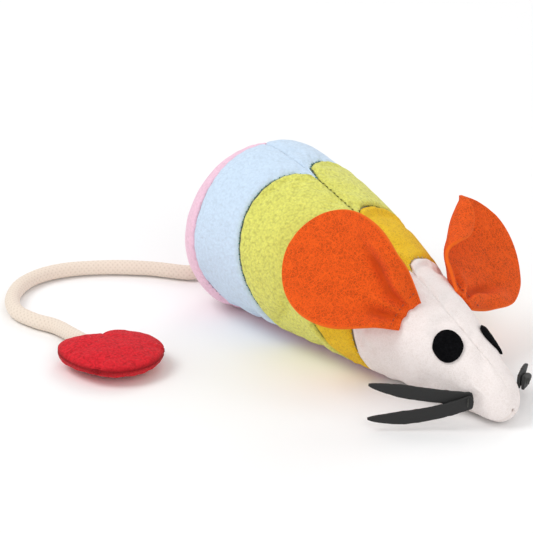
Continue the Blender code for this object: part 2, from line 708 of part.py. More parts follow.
# ---------------------------------------------------------------- assembly
def main():
    clear_scene()
    materials = make_materials()
    parts = new_collection("stuffed_toy_mouse")
    cutters = new_collection("cutters")
    cover(materials, parts, cutters)
    for side_name in ("right", "left"):
        eye(side_name, materials["black_felt"], parts)
        ear(side_name, materials, parts)
    for name in WHISKERS:
        whisker(name, materials["black_felt"], parts)
    for side_name, first in (("right", "right_upper_whisker"), ("left", "left_upper_whisker")):
        side, _, sweep = WHISKERS[first][:3]
        whisker_stitch(side_name, side, sweep, materials["dark_thread"], parts)
    tail(materials, parts, cutters)


main()
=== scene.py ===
"""Stuffed patchwork toy mouse: pieced fleece cover, felt head, ears and whiskers, rope tail, padded heart.

Frame: metres, +X towards the nose, +Z up, +Y the mouse's left. The origin is on the surface that the
mouse lies on, under the middle of its body. Stations along the body are measured from its rear end.
"""
import math

import bmesh
import bpy
import numpy as np
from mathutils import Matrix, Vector, noise


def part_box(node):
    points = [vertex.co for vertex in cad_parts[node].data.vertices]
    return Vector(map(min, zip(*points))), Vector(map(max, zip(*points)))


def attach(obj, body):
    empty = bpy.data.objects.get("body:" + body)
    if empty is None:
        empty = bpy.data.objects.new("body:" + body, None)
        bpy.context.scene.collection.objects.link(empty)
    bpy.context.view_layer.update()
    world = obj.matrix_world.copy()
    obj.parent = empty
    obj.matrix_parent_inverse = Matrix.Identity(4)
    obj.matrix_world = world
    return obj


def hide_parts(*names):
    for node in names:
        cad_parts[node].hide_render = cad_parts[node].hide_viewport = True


bl_info = {
    "name": "Stuffed patchwork mouse",
    "version": (1, 0, 0),
    "blender": (4, 5, 0),
    "location": "View3D > Sidebar > Patchwork mouse",
    "description": "Fleece, felt, rope and stitches of a stuffed toy mouse, built around its packed frame",
    "category": "Object",
}

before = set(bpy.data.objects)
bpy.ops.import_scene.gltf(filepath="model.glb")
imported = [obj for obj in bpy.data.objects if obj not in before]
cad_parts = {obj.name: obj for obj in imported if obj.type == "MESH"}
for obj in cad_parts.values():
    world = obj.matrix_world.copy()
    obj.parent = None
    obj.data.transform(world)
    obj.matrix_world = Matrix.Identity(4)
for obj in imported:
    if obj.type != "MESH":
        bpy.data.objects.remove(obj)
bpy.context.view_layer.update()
MM = 0.001

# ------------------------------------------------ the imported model's dimensions, metres and degrees
BODY_LENGTH = 0.170
BODY_RADIUS = 0.0350
REAR_ROUND = 0.026
REAR_ROUND_POWER = 2.6
REAR_DROP = 0.006
NOSE_TAPER = 0.79
TAPER_POWER = 1.53
NOSE_ROUND = 0.008
NOSE_ROUND_POWER = 2.2
BELLY_SAG = 0.034             # share of the radius by which the belly is pressed flat
POLE_HOLE = 0.0008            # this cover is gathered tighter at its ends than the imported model's
BELLY_HALF_ANGLE = 30.0
FLANK_ANGLE = 180.0 - BELLY_HALF_ANGLE
BAND_SEAMS = [
    (0.0225, 0.0275, 0.0055),
    (0.0550, 0.0640, 0.0145),
    (0.0830, 0.0960, 0.0110),
    (0.1120, 0.1080, 0.0070),
]
SEAM_ARC_SKEW = 0.7
SEAM_ARC_POWER = 0.8
LEFT_ARC_EXTRA = 0.12
LEFT_ARC_POWER = 0.55

EYES = {"right": (-1, 0.1425, 37.5), "left": (1, 0.1440, 50.0)}
EYE_RADIUS = 0.0060

# Each ear: side, base station and angle, lift, yaw, pitch and roll (degrees), cupping at the base and at the
# tip, how far the cup's middle sits off centre, bend along its length (radians), roll of its inner edge at the
# base and at the tip, where that roll starts across the ear, disc radius, half width of the neck.
EARS = {
    "right": (-1, 0.1233, 41.0, 0.0024, -140.7, 30.5, -5.8, 1.12, 0.03, 0.0016,
              -0.449, 0.00, 0.00, 0.0080, 0.0228, 0.0081),
    "left": (1, 0.1236, 50.0, 0.0022, 145.0, -2.1, -48.6, 0.36, 0.09, -0.0012,
              0.805, 6.70, 5.14, 0.0112, 0.0247, 0.0050),
}
EAR_TAB_LENGTH = 0.0062
EAR_THICKNESS = 0.0015
EAR_TIP_SHARE = 1.998         # the ear's length beyond its neck, in disc radii
EAR_ROLL_START = 0.0015
EAR_ROLL_FULL = 0.0080
EAR_STITCH_OFFSET = 0.0030

WHISKER_WIDTH = 0.0055
WHISKER_STATION = 0.1595
WHISKER_ANGLE = 82.0
WHISKER_ROOT_LIFT = 0.0014
WHISKER_LAYER_STEP = 0.0017
WHISKER_ROOT_ROUND = 0.0012
WHISKER_TIP_TAPER = 0.0130
WHISKER_LEAST_WIDTH = 0.12
WHISKERS = {
    "right_upper_whisker": (-1, 0.0395, 38.0, 9.0, 0.0008, 0),
    "right_lower_whisker": (-1, 0.0400, 38.0, -10.0, 0.0022, 1),
    "left_upper_whisker": (1, 0.0245, 40.0, -9.0, 0.0, 0),
    "left_lower_whisker": (1, 0.0240, 40.0, -19.0, 0.0, 1),
}

ROPE_RADIUS = 0.0030
ROPE_REST_HEIGHT = ROPE_RADIUS + 0.00005
TAIL_EXIT_HEIGHT = 0.0095
TAIL_BURIED = 0.0050
TAIL_ROUTE = [
    (-0.0979, -0.0118), (-0.1107, -0.0213), (-0.1219, -0.0332), (-0.1302, -0.0470), (-0.1328, -0.0597),
    (-0.1297, -0.0718), (-0.1211, -0.0822), (-0.1102, -0.0876), (-0.0990, -0.0868), (-0.0884, -0.0836),
]

HEART_CENTRE = (-0.0560, -0.0857)
HEART_HEADING = 2.0
HEART_RADIUS = 0.0192
HEART_WAVES = [(1, 0.287, 0.0), (2, 0.015, 0.111), (3, 0.002, -0.034)]
HEART_NOTCH = 0.0022
HEART_NOTCH_ANGLE = 22.0
HEART_SEAM_HEIGHT = 0.0066
HEART_UPPER_CROWN = 0.0040
HEART_LOWER_CROWN = 0.0063
HEART_ROPE_DROP = 0.0012
HEART_ROPE_INSIDE = 0.0070


# ---------------------------------------------------------------- settings
def millimetres(name, description, default):
    return bpy.props.FloatProperty(
        name=name, description=description, default=default, min=0.0,
        unit="LENGTH", subtype="DISTANCE", precision=5)


def dye(name, description, default):
    return bpy.props.StringProperty(
        name=name, description=description + ", as an sRGB hex value", default=default)


class MouseCoverSettings(bpy.types.PropertyGroup):
    seam_depth: millimetres("Seam depth", "How far a seam pulls into the stuffing", 0.0011)
    seam_width: millimetres("Seam width", "Distance over which the cloth rolls into a seam", 0.0011)
    pucker_height: millimetres("Pucker height", "Height of the small gathers beside a seam", 0.00035)
    pucker_spacing: millimetres("Pucker spacing", "Distance between two gathers", 0.0052)
    lump_height: millimetres("Lump height", "Unevenness of the stuffing under the cloth", 0.0005)
    swell: millimetres("Swell", "Most that the cloth may blow out between its seams", 0.0016)
    pink: dye("Pink fleece", "Dye of the rear end and the belly", "F6CCE0")
    blue: dye("Blue fleece", "Dye of the second band", "CFE3F7")
    green: dye("Green fleece", "Dye of the third band", "E6E670")
    yellow: dye("Yellow felt", "Dye of the fourth band", "FFD02C")
    white: dye("White felt", "Colour of the head", "F7EEEB")


class MouseFeltSettings(bpy.types.PropertyGroup):
    black: dye("Black felt", "Dye of the eyes and whiskers", "0E0E10")
    orange: dye("Orange felt", "Dye of the ears", "FA5F18")


class MouseTailSettings(bpy.types.PropertyGroup):
    cotton: dye("Cotton", "Colour of the undyed rope", "ECDDCD")
    plait_pitch: millimetres("Plait pitch", "Length of rope in which one strand goes round once", 0.0160)
    plait_depth: millimetres("Plait depth", "Depth of the grooves between strands", 0.00020)
    strands: bpy.props.IntProperty(name="Strands", description="Strands that wind each way", default=8, min=4)


class MouseHeartSettings(bpy.types.PropertyGroup):
    red: dye("Red fleece", "Dye of the heart", "DE2531")
    seam_depth: millimetres("Seam depth", "How far the edge seam pulls in", 0.0013)


class MouseStageSettings(bpy.types.PropertyGroup):
    floor: dye("Floor", "Colour of the floor", "FBFBFB")
    lens: bpy.props.FloatProperty(
        name="Lens", description="Focal length on a 36 mm film", default=252.9, min=1.0, unit="CAMERA")


class MouseSettings(bpy.types.PropertyGroup):
    cover: bpy.props.PointerProperty(type=MouseCoverSettings, name="Cover", description="The pieced cover")
    felt: bpy.props.PointerProperty(type=MouseFeltSettings, name="Felt", description="Eyes, ears and whiskers")
    tail: bpy.props.PointerProperty(type=MouseTailSettings, name="Tail", description="The rope")
    heart: bpy.props.PointerProperty(type=MouseHeartSettings, name="Heart", description="The padded heart")
    stage: bpy.props.PointerProperty(
        type=MouseStageSettings, name="Stage", description="Floor, light and camera")


def settings():
    return bpy.context.scene.patchwork_mouse


# ---------------------------------------------------------------- materials
def linear_rgb(hex_colour):
    """Linear colour of an sRGB hex value."""
    channels = []
    for i in (0, 2, 4):
        value = int(hex_colour[i:i + 2], 16) / 255
        channels.append(value / 12.92 if value <= 0.04045 else ((value + 0.055) / 1.055) ** 2.4)
    return (*channels, 1.0)


def toned(hex_colour, factor, warmth=0.0):
    """The same dye, darker or lighter, and warmer where warmth is above 0."""
    r, g, b, _ = linear_rgb(hex_colour)
    tinted = (r * factor * (1 + warmth), g * factor, b * factor * (1 - warmth))
    return (*(min(channel, 1.0) for channel in tinted), 1.0)


def add_node(material, kind, values=None, links=None, **options):
    """A node with its options, input values and links set; input names may be numbers."""
    node = material.node_tree.nodes.new(kind)
    for name, value in options.items():
        setattr(node, name, value)
    for name, value in (values or {}).items():
        node.inputs[name].default_value = value
    for name, socket in (links or {}).items():
        material.node_tree.links.new(node.inputs[name], socket)
    return node


def new_material(name, roughness, sheen, sheen_roughness, specular):
    material = bpy.data.materials.new(name)
    material.use_nodes = True
    shader = material.node_tree.nodes["Principled BSDF"]
    shader.inputs["Roughness"].default_value = roughness
    shader.inputs["Sheen Weight"].default_value = sheen
    shader.inputs["Sheen Roughness"].default_value = sheen_roughness
    shader.inputs["Specular IOR Level"].default_value = specular
    return material, shader


def ramp(material, factor, stops):
    """A colour ramp over factor, from a list of (position, colour)."""
    node = add_node(material, "ShaderNodeValToRGB", links={"Fac": factor})
    elements = node.color_ramp.elements
    while len(elements) < len(stops):
        elements.new(0.5)
    for element, (position, colour) in zip(elements, stops):
        element.position = position
        element.color = colour
    return node.outputs["Color"]


def object_place(material):
    return add_node(material, "ShaderNodeTexCoord").outputs["Object"]


def noise_texture(material, place, size, detail, **values):
    """Noise with lumps of that size in millimetres."""
    return add_node(material, "ShaderNodeTexNoise", {"Scale": 1 / (size * MM), "Detail": detail, **values},
                    {"Vector": place})


def maths(material, operation, *inputs):
    """A sum or product of sockets and numbers."""
    node = add_node(material, "ShaderNodeMath", operation=operation)
    for socket, value in zip(node.inputs, inputs):
        if isinstance(value, float):
            socket.default_value = value
        else:
            material.node_tree.links.new(socket, value)
    return node.outputs[0]


def map_range(material, value, low, high, to_low=0.0, to_high=1.0):
    values = {"From Min": low, "From Max": high, "To Min": to_low, "To Max": to_high}
    return add_node(material, "ShaderNodeMapRange", values, {"Value": value}).outputs[0]


def mix_colour(material, factor, under, over):
    """The colour under, covered by the colour over where factor is 1."""
    node = add_node(material, "ShaderNodeMix", {"B": over}, {"Factor": factor, "A": under}, data_type="RGBA")
    return node.outputs["Result"]


def attribute(material, name):
    return add_node(material, "ShaderNodeAttribute", attribute_name=name).outputs["Fac"]


def bump(material, height, strength, distance, normal=None):
    """Relief from a height; distance is in millimetres."""
    links = {"Height": height}
    if normal is not None:
        links["Normal"] = normal
    values = {"Strength": strength, "Distance": distance * MM}
    return add_node(material, "ShaderNodeBump", values, links).outputs[0]


def connect(material, shader, colour, normal):
    material.node_tree.links.new(shader.inputs["Base Color"], colour)
    material.node_tree.links.new(shader.inputs["Normal"], normal)


def fleece(name, hex_colour, tuft=1.15, contrast=0.5, depth=0.5, seam_shade_tone=0.62, sheen=0.2):
    """Brushed polyester fleece: matte, with pile that clots into soft beads about a millimetre across, and
    painted shade along its seams.
    """
    material, shader = new_material(name, 0.95, sheen, 0.55, 0.15)
    place = object_place(material)
    drift = noise_texture(material, place, 2.2, 2.0)
    moved = add_node(material, "ShaderNodeVectorMath", {1: (1.6 * MM,) * 3},
                     {0: drift.outputs["Color"]}, operation="MULTIPLY")
    warped = add_node(material, "ShaderNodeVectorMath", links={0: place, 1: moved.outputs[0]}, operation="ADD")
    beads = add_node(material, "ShaderNodeTexVoronoi", {"Scale": 1 / (tuft * MM), "Smoothness": 0.8},
                     {"Vector": warped.outputs[0]}, feature="SMOOTH_F1")
    fibre = noise_texture(material, place, 0.40, 3.0, Roughness=0.65).outputs["Fac"]
    clot = noise_texture(material, place, 1.3, 3.0).outputs["Fac"]
    height = maths(material, "MULTIPLY", beads.outputs["Distance"], -0.9)
    fuzzy = maths(material, "MULTIPLY_ADD", fibre, 0.45, height)
    pile = maths(material, "MULTIPLY_ADD", clot, 0.75, fuzzy)
    spread = map_range(material, pile, -0.25, 0.50)
    # Colour of the pile: darker where it lies low between the beads and lighter on their tops, partly the clots'
    # own tone and partly painted shade on that relief.
    cloth = ramp(material, spread, [
        (0.0, toned(hex_colour, 1 - 0.45 * contrast, 0.04 * contrast)),
        (0.45, toned(hex_colour, 1 - 0.14 * contrast)),
        (0.75, toned(hex_colour, 1.0)), (1.0, toned(hex_colour, 1 + 0.12 * contrast)),
    ])
    # Painted shade: darker, warmer colour where the seam attribute marks a seam valley.
    shaded = mix_colour(material, attribute(material, "seam"), cloth, toned(hex_colour, seam_shade_tone, 0.04))
    coarse = bump(material, spread, depth, 0.45)
    connect(material, shader, shaded, bump(material, fibre, 0.35, 0.12, coarse))
    return material


def felt(name, hex_colour, dark=0.80, light=1.08, depth=0.4, sheen=0.12, edge_highlight_tone=1.25, seam_shade_tone=0.70,
         gloss=0.2):
    """Pressed felt: matted fibres a millimetre apart and a dry surface, with a painted highlight along its cut
    edge and painted shade in its seams and creases.
    """
    material, shader = new_material(name, 0.92, sheen, 0.5, gloss)
    place = object_place(material)
    mat = noise_texture(material, place, 1.0, 5.0, Roughness=0.75, Distortion=1.8).outputs["Fac"]
    patch = noise_texture(material, place, 6.0, 3.0).outputs["Fac"]
    hairs = add_node(material, "ShaderNodeTexVoronoi", {"Scale": 1 / (1.7 * MM), "Randomness": 1.0},
                     {"Vector": place}, feature="DISTANCE_TO_EDGE")
    hair = map_range(material, hairs.outputs["Distance"], 0.0, 0.09, 0.16, 0.0)
    matted = maths(material, "MULTIPLY_ADD", patch, 0.20, mat)
    spread = map_range(material, maths(material, "ADD", matted, hair), 0.46, 0.84)
    cloth = ramp(material, spread, [
        (0.0, toned(hex_colour, dark, 0.02)), (0.5, toned(hex_colour, 1.0)), (1.0, toned(hex_colour, light)),
    ])
    # Painted shade: darker, warmer colour where the seam attribute marks a seam valley or a fold's crease.
    shaded = mix_colour(material, attribute(material, "seam"), cloth, toned(hex_colour, seam_shade_tone, 0.04))
    # Painted highlight: lighter colour along the cut edge, where the rim attribute is set.
    edged = mix_colour(material, attribute(material, "rim_highlight"), shaded, toned(hex_colour, edge_highlight_tone))
    connect(material, shader, edged, bump(material, spread, depth, 0.22))
    return material


def cotton(name, hex_colour):
    """Undyed cotton: soft, slightly yellow, with stray darker fibres caught in the plait, and painted shade in
    the grooves between its strands.
    """
    material, shader = new_material(name, 0.9, 0.2, 0.6, 0.2)
    place = object_place(material)
    fibre = noise_texture(material, place, 0.7, 4.0, Roughness=0.7).outputs["Fac"]
    flecks = noise_texture(material, place, 1.3, 3.0, Distortion=2.0).outputs["Fac"]
    # Painted shade: the colour darkens and warms where the seam attribute marks a groove between strands.
    tone = ramp(material, attribute(material, "seam"), [
        (0.0, toned(hex_colour, 1.03)), (0.55, toned(hex_colour, 0.97)), (1.0, toned(hex_colour, 0.80, 0.04)),
    ])
    fleck = map_range(material, flecks, 0.70, 0.82, to_high=0.45)
    flecked = mix_colour(material, fleck, tone, linear_rgb("B9A28C"))
    connect(material, shader, flecked, bump(material, fibre, 0.4, 0.15))
    return material


def thread(name, hex_colour):
    """Spun polyester sewing thread: a soft gloss along twisted plies."""
    material, shader = new_material(name, 0.55, 0.1, 0.5, 0.4)
    place = object_place(material)
    plies = {"Scale": 1 / (2.2 * MM), "Distortion": 1.5, "Detail": 2.0}
    twist = add_node(material, "ShaderNodeTexWave", plies, {"Vector": place},
                     bands_direction="DIAGONAL").outputs["Fac"]
    tone = ramp(material, twist, [(0.0, toned(hex_colour, 0.65)), (1.0, toned(hex_colour, 1.15))])
    connect(material, shader, tone, bump(material, twist, 0.5, 0.1))
    return material


# ---------------------------------------------------------------- the body's surface
def taper_radius(x):
    share = np.clip((x - REAR_ROUND) / (BODY_LENGTH - REAR_ROUND), 0.0, 1.0)
    return BODY_RADIUS * (1.0 - NOSE_TAPER * share ** TAPER_POWER)


def body_radius(x):
    rear = np.clip((REAR_ROUND - x) / REAR_ROUND, 0.0, 1.0)
    nose = np.clip((x - BODY_LENGTH + NOSE_ROUND) / NOSE_ROUND, 0.0, 1.0)
    rear_share = (1.0 - rear ** REAR_ROUND_POWER) ** (1.0 / REAR_ROUND_POWER)
    nose_share = np.sqrt(np.clip(1.0 - nose ** NOSE_ROUND_POWER, 0.0, 1.0))
    return taper_radius(x) * rear_share * nose_share


def body_centre_height(x):
    slump = REAR_DROP * np.clip((REAR_ROUND - x) / REAR_ROUND, 0.0, 1.0)
    return taper_radius(x) * (1.0 - BELLY_SAG) - slump


def meridian_table():
    """Stations, radii and arc lengths from the rear end to the nose, close together at both ends."""
    turn = np.linspace(0.0, math.pi, 1201)
    stations = BODY_LENGTH * (1.0 - np.cos(turn)) / 2.0
    radii = body_radius(stations)
    steps = np.hypot(np.diff(stations), np.diff(radii))
    return stations, radii, np.concatenate([[0.0], np.cumsum(steps)])


STATIONS, RADII, ARC_LENGTHS = meridian_table()


def arc_of_station(x):
    return np.interp(x, STATIONS, ARC_LENGTHS)


def arc_of_radius(radius, at_nose):
    """Arc length at which the cover's end opening has this radius."""
    middle = int(np.argmax(RADII))
    if at_nose:
        return float(np.interp(-radius, -RADII[middle:], ARC_LENGTHS[middle:]))
    return float(np.interp(radius, RADII[:middle], ARC_LENGTHS[:middle]))


def body_points(arc, angle, lift):
    """Points on the body for arrays of arc length, signed angle from the top (degrees) and lift outwards."""
    step = 0.2 * MM
    low, high = np.maximum(arc - step, 0.0), np.minimum(arc + step, ARC_LENGTHS[-1])
    dx = np.interp(high, ARC_LENGTHS, STATIONS) - np.interp(low, ARC_LENGTHS, STATIONS)
    dr = np.interp(high, ARC_LENGTHS, RADII) - np.interp(low, ARC_LENGTHS, RADII)
    length = np.hypot(dx, dr)
    x = np.interp(arc, ARC_LENGTHS, STATIONS) - lift * dr / length
    r = np.maximum(np.interp(arc, ARC_LENGTHS, RADII) + lift * dx / length, 0.0)
    turn = np.radians(angle)
    z = body_centre_height(x) + r * np.cos(turn)
    return np.stack([x - BODY_LENGTH / 2, r * np.sin(turn), np.maximum(z, 0.0)], -1)


def body_point(station, angle, side, lift=0.0):
    return Vector(body_points(np.array([arc_of_station(station)]), np.array([side * angle]), lift)[0])


def surface_frame(station, angle, side):
    """Point on the body with its outward normal, its forward tangent and its upward-round tangent."""
    step = 0.5 * MM
    arc = np.array([arc_of_station(station)] * 4) + np.array([step, -step, 0.0, 0.0])
    round_angle = side * (angle + np.array([0.0, 0.0, -1.0, 1.0]))
    ahead, behind, above, below = body_points(arc, round_angle, 0.0)
    point = body_point(station, angle, side)
    forward = Vector(ahead - behind).normalized()
    upward = Vector(above - below).normalized()
    normal = forward.cross(upward)
    if normal.dot(point - Vector((point.x, 0.0, float(body_centre_height(station))))) < 0:
        normal.negate()
    return point, normal.normalized(), forward, upward


def outward_from_axis(points):
    """From the body's middle line out to each point."""
    x = points[..., 0]
    return points - np.stack([x, np.zeros_like(x), body_centre_height(x + BODY_LENGTH / 2)], -1)


# ---------------------------------------------------------------- meshes from grids
def noise_field(points, size, seed):
    """Smooth noise from -1 to 1 at each point, with lumps of that size in metres."""
    flat = points.reshape(-1, 3)
    offset = Vector((seed * 7.13, seed * 3.71, seed * 5.37))
    values = [noise.noise(Vector(p) / size + offset) for p in flat]
    return np.array(values).reshape(points.shape[:-1])


def grid_normals(points):
    """Unit normals of a grid of points, by differences along both directions."""
    rows = np.gradient(points, axis=0)
    columns = np.gradient(points, axis=1)
    normal = np.cross(rows, columns)
    length = np.linalg.norm(normal, axis=-1, keepdims=True)
    return normal / np.maximum(length, 1e-12)


def grid_faces(rows, columns, flip=False, start=0):
    index = np.arange(rows * columns).reshape(rows, columns) + start
    faces = np.stack([index[:-1, :-1], index[1:, :-1], index[1:, 1:], index[:-1, 1:]], -1).reshape(-1, 4)
    return faces[:, ::-1] if flip else faces


def mesh_object(name, points, faces, material, attributes=None):
    """A smooth-shaded mesh object in the scene, with point attributes."""
    mesh = bpy.data.meshes.new(name)
    corners = [tuple(p) for p in points.reshape(-1, 3)]
    mesh.from_pydata(corners, [], [tuple(int(k) for k in face) for face in faces])
    for key, values in (attributes or {}).items():
        layer = mesh.attributes.new(key, "FLOAT", "POINT")
        layer.data.foreach_set("value", np.asarray(values, np.float32).ravel())
    mesh.materials.append(material)
    mesh.update()
    mesh.shade_smooth()
    obj = bpy.data.objects.new(name, mesh)
    bpy.context.scene.collection.objects.link(obj)
    return obj


def apply_modifiers(obj):
    """Replaces the object's mesh with its evaluated one."""
    graph = bpy.context.evaluated_depsgraph_get()
    made = bpy.data.meshes.new_from_object(
        obj.evaluated_get(graph), preserve_all_data_layers=True, depsgraph=graph)
    obj.modifiers.clear()
    obj.data = made
    made.shade_smooth()


def thicken(obj, thickness, rounding=1, offset=-1.0):
    """Gives a sheet its thickness and rounds its cut edges."""
    solidify = obj.modifiers.new("Thickness", "SOLIDIFY")
    solidify.thickness = thickness
    solidify.offset = offset
    if rounding:
        smooth = obj.modifiers.new("Round edges", "SUBSURF")
        smooth.levels = rounding
        smooth.render_levels = rounding
    apply_modifiers(obj)


def finish_piece(obj, body, slot, *nodes):
    """Puts a piece on its body and hides the nodes that it stands for; the name of its finish is not used."""
    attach(obj, body)
    if nodes:
        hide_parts(*nodes)
    return obj


def cubic(a, b, c, d, t):
    """Catmull-Rom curve from b to c at share t."""
    return 0.5 * (2 * b + (c - a) * t + (2 * a - 5 * b + 4 * c - d) * t * t
                  + (3 * b - a - 3 * c + d) * t ** 3)


def upsample(points, factor):
    """The grid refined by a cubic curve through its points, along both directions."""
    for axis in (0, 1):
        points = np.moveaxis(points, axis, 0)
        padded = np.concatenate([2 * points[:1] - points[1:2], points, 2 * points[-1:] - points[-2:-1]])
        spans = []
        for t in np.arange(factor) / factor:
            spans.append(cubic(padded[:-3], padded[1:-2], padded[2:-1], padded[3:], t))
        fine = np.stack(spans, 1).reshape(-1, *points.shape[1:])
        points = np.moveaxis(np.concatenate([fine, points[-1:]]), 0, axis)
    return points


def tube_mesh(path, radius, sides, taper=0.0):
    """Points and faces of a closed tube along a path; taper is the share of the radius lost at the ends."""
    path = np.asarray(path, float)
    tangent = np.gradient(path, axis=0)
    tangent /= np.linalg.norm(tangent, axis=1, keepdims=True)
    up = np.array([0.0, 0.0, 1.0]) if abs(tangent[0][2]) < 0.9 else np.array([1.0, 0.0, 0.0])
    side = np.cross(tangent[0], up)
    side /= np.linalg.norm(side)
    rings = []
    turn = np.linspace(0, 2 * math.pi, sides, endpoint=False)
    share = np.linspace(-1, 1, len(path))
    for centre, direction, s in zip(path, tangent, share):
        side = side - direction * side.dot(direction)
        side /= np.linalg.norm(side)
        other = np.cross(direction, side)
        size = radius * (1 - taper * abs(s) ** 4)
        rings.append(centre + size * (np.cos(turn)[:, None] * side + np.sin(turn)[:, None] * other))
    points = np.concatenate([np.array(rings).reshape(-1, 3), path[:1], path[-1:]])
    faces = []
    count = len(path)
    for i in range(count - 1):
        for j in range(sides):
            k = (j + 1) % sides
            faces.append([i * sides + j, i * sides + k, (i + 1) * sides + k, (i + 1) * sides + j])
    first, last = count * sides, count * sides + 1
    for j in range(sides):
        k = (j + 1) % sides
        faces.append([first, k, j])
        faces.append([last, (count - 1) * sides + j, (count - 1) * sides + k])
    return points, faces


def threads_object(name, paths, radius, material, sides=6):
    """Many short threads as one mesh."""
    all_points, all_faces = [], []
    for path in paths:
        points, faces = tube_mesh(path, radius, sides, taper=0.5)
        start = sum(len(p) for p in all_points)
        all_points.append(points)
        all_faces += [[k + start for k in face] for face in faces]
    return mesh_object(name, np.concatenate(all_points), all_faces, material)


# ---------------------------------------------------------------- cloth
CLOTH_ENLARGE = 10.0          # the solver is steadier on a larger cloth
CLOTH_FRAMES = 20
CLOTH_SETTINGS = dict(
    quality=5, mass=0.15, tension_stiffness=12.0, compression_stiffness=12.0, bending_stiffness=0.4,
    shrink_min=-0.03, use_pressure=True, vertex_group_mass="held",
)


def blow_up(obj, held, pressure, most):
    """Blows a sewn cloth up from inside with its held points fixed; no point moves further than most."""
    rest = np.array([v.co for v in obj.data.vertices])
    group = obj.vertex_groups.new(name="held")
    group.add([int(k) for k in held], 1.0, "REPLACE")
    for vertex in obj.data.vertices:
        vertex.co = vertex.co * CLOTH_ENLARGE
    cloth = obj.modifiers.new("Cloth", "CLOTH")
    for key, value in CLOTH_SETTINGS.items():
        setattr(cloth.settings, key, value)
    cloth.settings.uniform_pressure_force = pressure
    cloth.settings.effector_weights.gravity = 0.0
    cloth.collision_settings.use_collision = False
    scene = bpy.context.scene
    cloth.point_cache.frame_start = 1
    cloth.point_cache.frame_end = CLOTH_FRAMES
    for number in range(1, CLOTH_FRAMES + 1):
        scene.frame_set(number)
    graph = bpy.context.evaluated_depsgraph_get()
    blown = np.array([v.co for v in obj.evaluated_get(graph).data.vertices]) / CLOTH_ENLARGE
    obj.modifiers.remove(cloth)
    scene.frame_set(1)
    move = blown - rest
    length = np.linalg.norm(move, axis=1, keepdims=True)
    move *= np.minimum(1.0, most / np.maximum(length, 1e-9))
    for vertex, position in zip(obj.data.vertices, rest + move):
        vertex.co = Vector(position)


# ---------------------------------------------------------------- cover
BANDS = [
    ("pink_patch", 24, "pink", "pink_fleece"),
    ("blue_patch", 12, "blue", "blue_fleece"),
    ("green_patch", 12, "green", "green_fleece"),
    ("yellow_patch", 9, "yellow", "yellow_felt"),
    ("head_patch", 24, "white", "white_felt"),
]
# How strongly the top seam shows in each band, and each seam across the body: 1 is a full seam.
TOP_SEAM_SHARES = (0.03, 0.03, 0.40, 0.22, 0.08)
CROSS_SEAM_SHARES = (0.40, 0.50, 0.55, 0.32)
BELLY_SEAM_SHARE = 0.8
# Looks of each cloth; the seam tone is the darkest colour of the painted shade along its seams.
CLOTH_LOOKS = {
    "pink_fleece": dict(contrast=0.30, depth=0.45, seam_shade_tone=0.80),
    "blue_fleece": dict(contrast=0.28, depth=0.45, seam_shade_tone=0.76),
    "green_fleece": dict(tuft=0.95, contrast=0.75, depth=0.75, seam_shade_tone=0.58),
    "yellow_felt": dict(dark=0.66, light=1.12, depth=0.9, sheen=0.05, seam_shade_tone=0.84),
    "white_felt": dict(dark=0.90, light=1.03, depth=0.50, seam_shade_tone=0.86),
}
FLANK_COLUMNS = 34
BELLY_COLUMNS = 14
REFINE = 3
EDGE_CROWDING = 0.35
CLOTH_THICKNESS = 1.1 * MM
NOSE_FADE = 22 * MM           # length before the nose over which the swelling dies out


def crowded(count):
    """Shares from 0 to 1, closer together at both ends, where the cloth rolls into its seams."""
    even = np.linspace(0.0, 1.0, count + 1)
    return (1 - EDGE_CROWDING) * even + EDGE_CROWDING * (1 - np.cos(math.pi * even)) / 2


def band_arcs(v, side):
    """Arc lengths of the cover's ends and of its seams across the body, at v from top seam to belly seam."""
    deeper, power = 1.0, SEAM_ARC_POWER
    if side == "left":
        deeper, power = 1.0 + LEFT_ARC_EXTRA, LEFT_ARC_POWER
    arcs = [np.full_like(v, arc_of_radius(POLE_HOLE, at_nose=False))]
    for top, bottom, depth in BAND_SEAMS:
        arch = np.maximum(np.sin(math.pi * v ** SEAM_ARC_SKEW), 0.0) ** power
        station = top + (bottom - top) * v - deeper * depth * arch
        arcs.append(arc_of_station(station))
    arcs.append(np.full_like(v, arc_of_radius(POLE_HOLE, at_nose=True)))
    return arcs


def patch_parameters(band, rows, v, side):
    """Arc lengths for a band's rows by the shares v across it."""
    arcs = band_arcs(v, side)
    t = crowded(rows)[:, None]
    return arcs[band][None] + (arcs[band + 1] - arcs[band])[None] * t


def cover_panels():
    """Every panel: its side or belly, its band, and the angles and the shares v across it."""
    flank = crowded(FLANK_COLUMNS)
    belly = np.linspace(0.0, 1.0, BELLY_COLUMNS + 1)
    panels = []
    for band in range(len(BANDS)):
        panels.append(("right", band, -flank * FLANK_ANGLE, flank))
        panels.append(("left", band, flank * FLANK_ANGLE, flank))
        panels.append(("belly", band, FLANK_ANGLE + 2 * BELLY_HALF_ANGLE * belly, np.ones_like(belly)))
    return panels


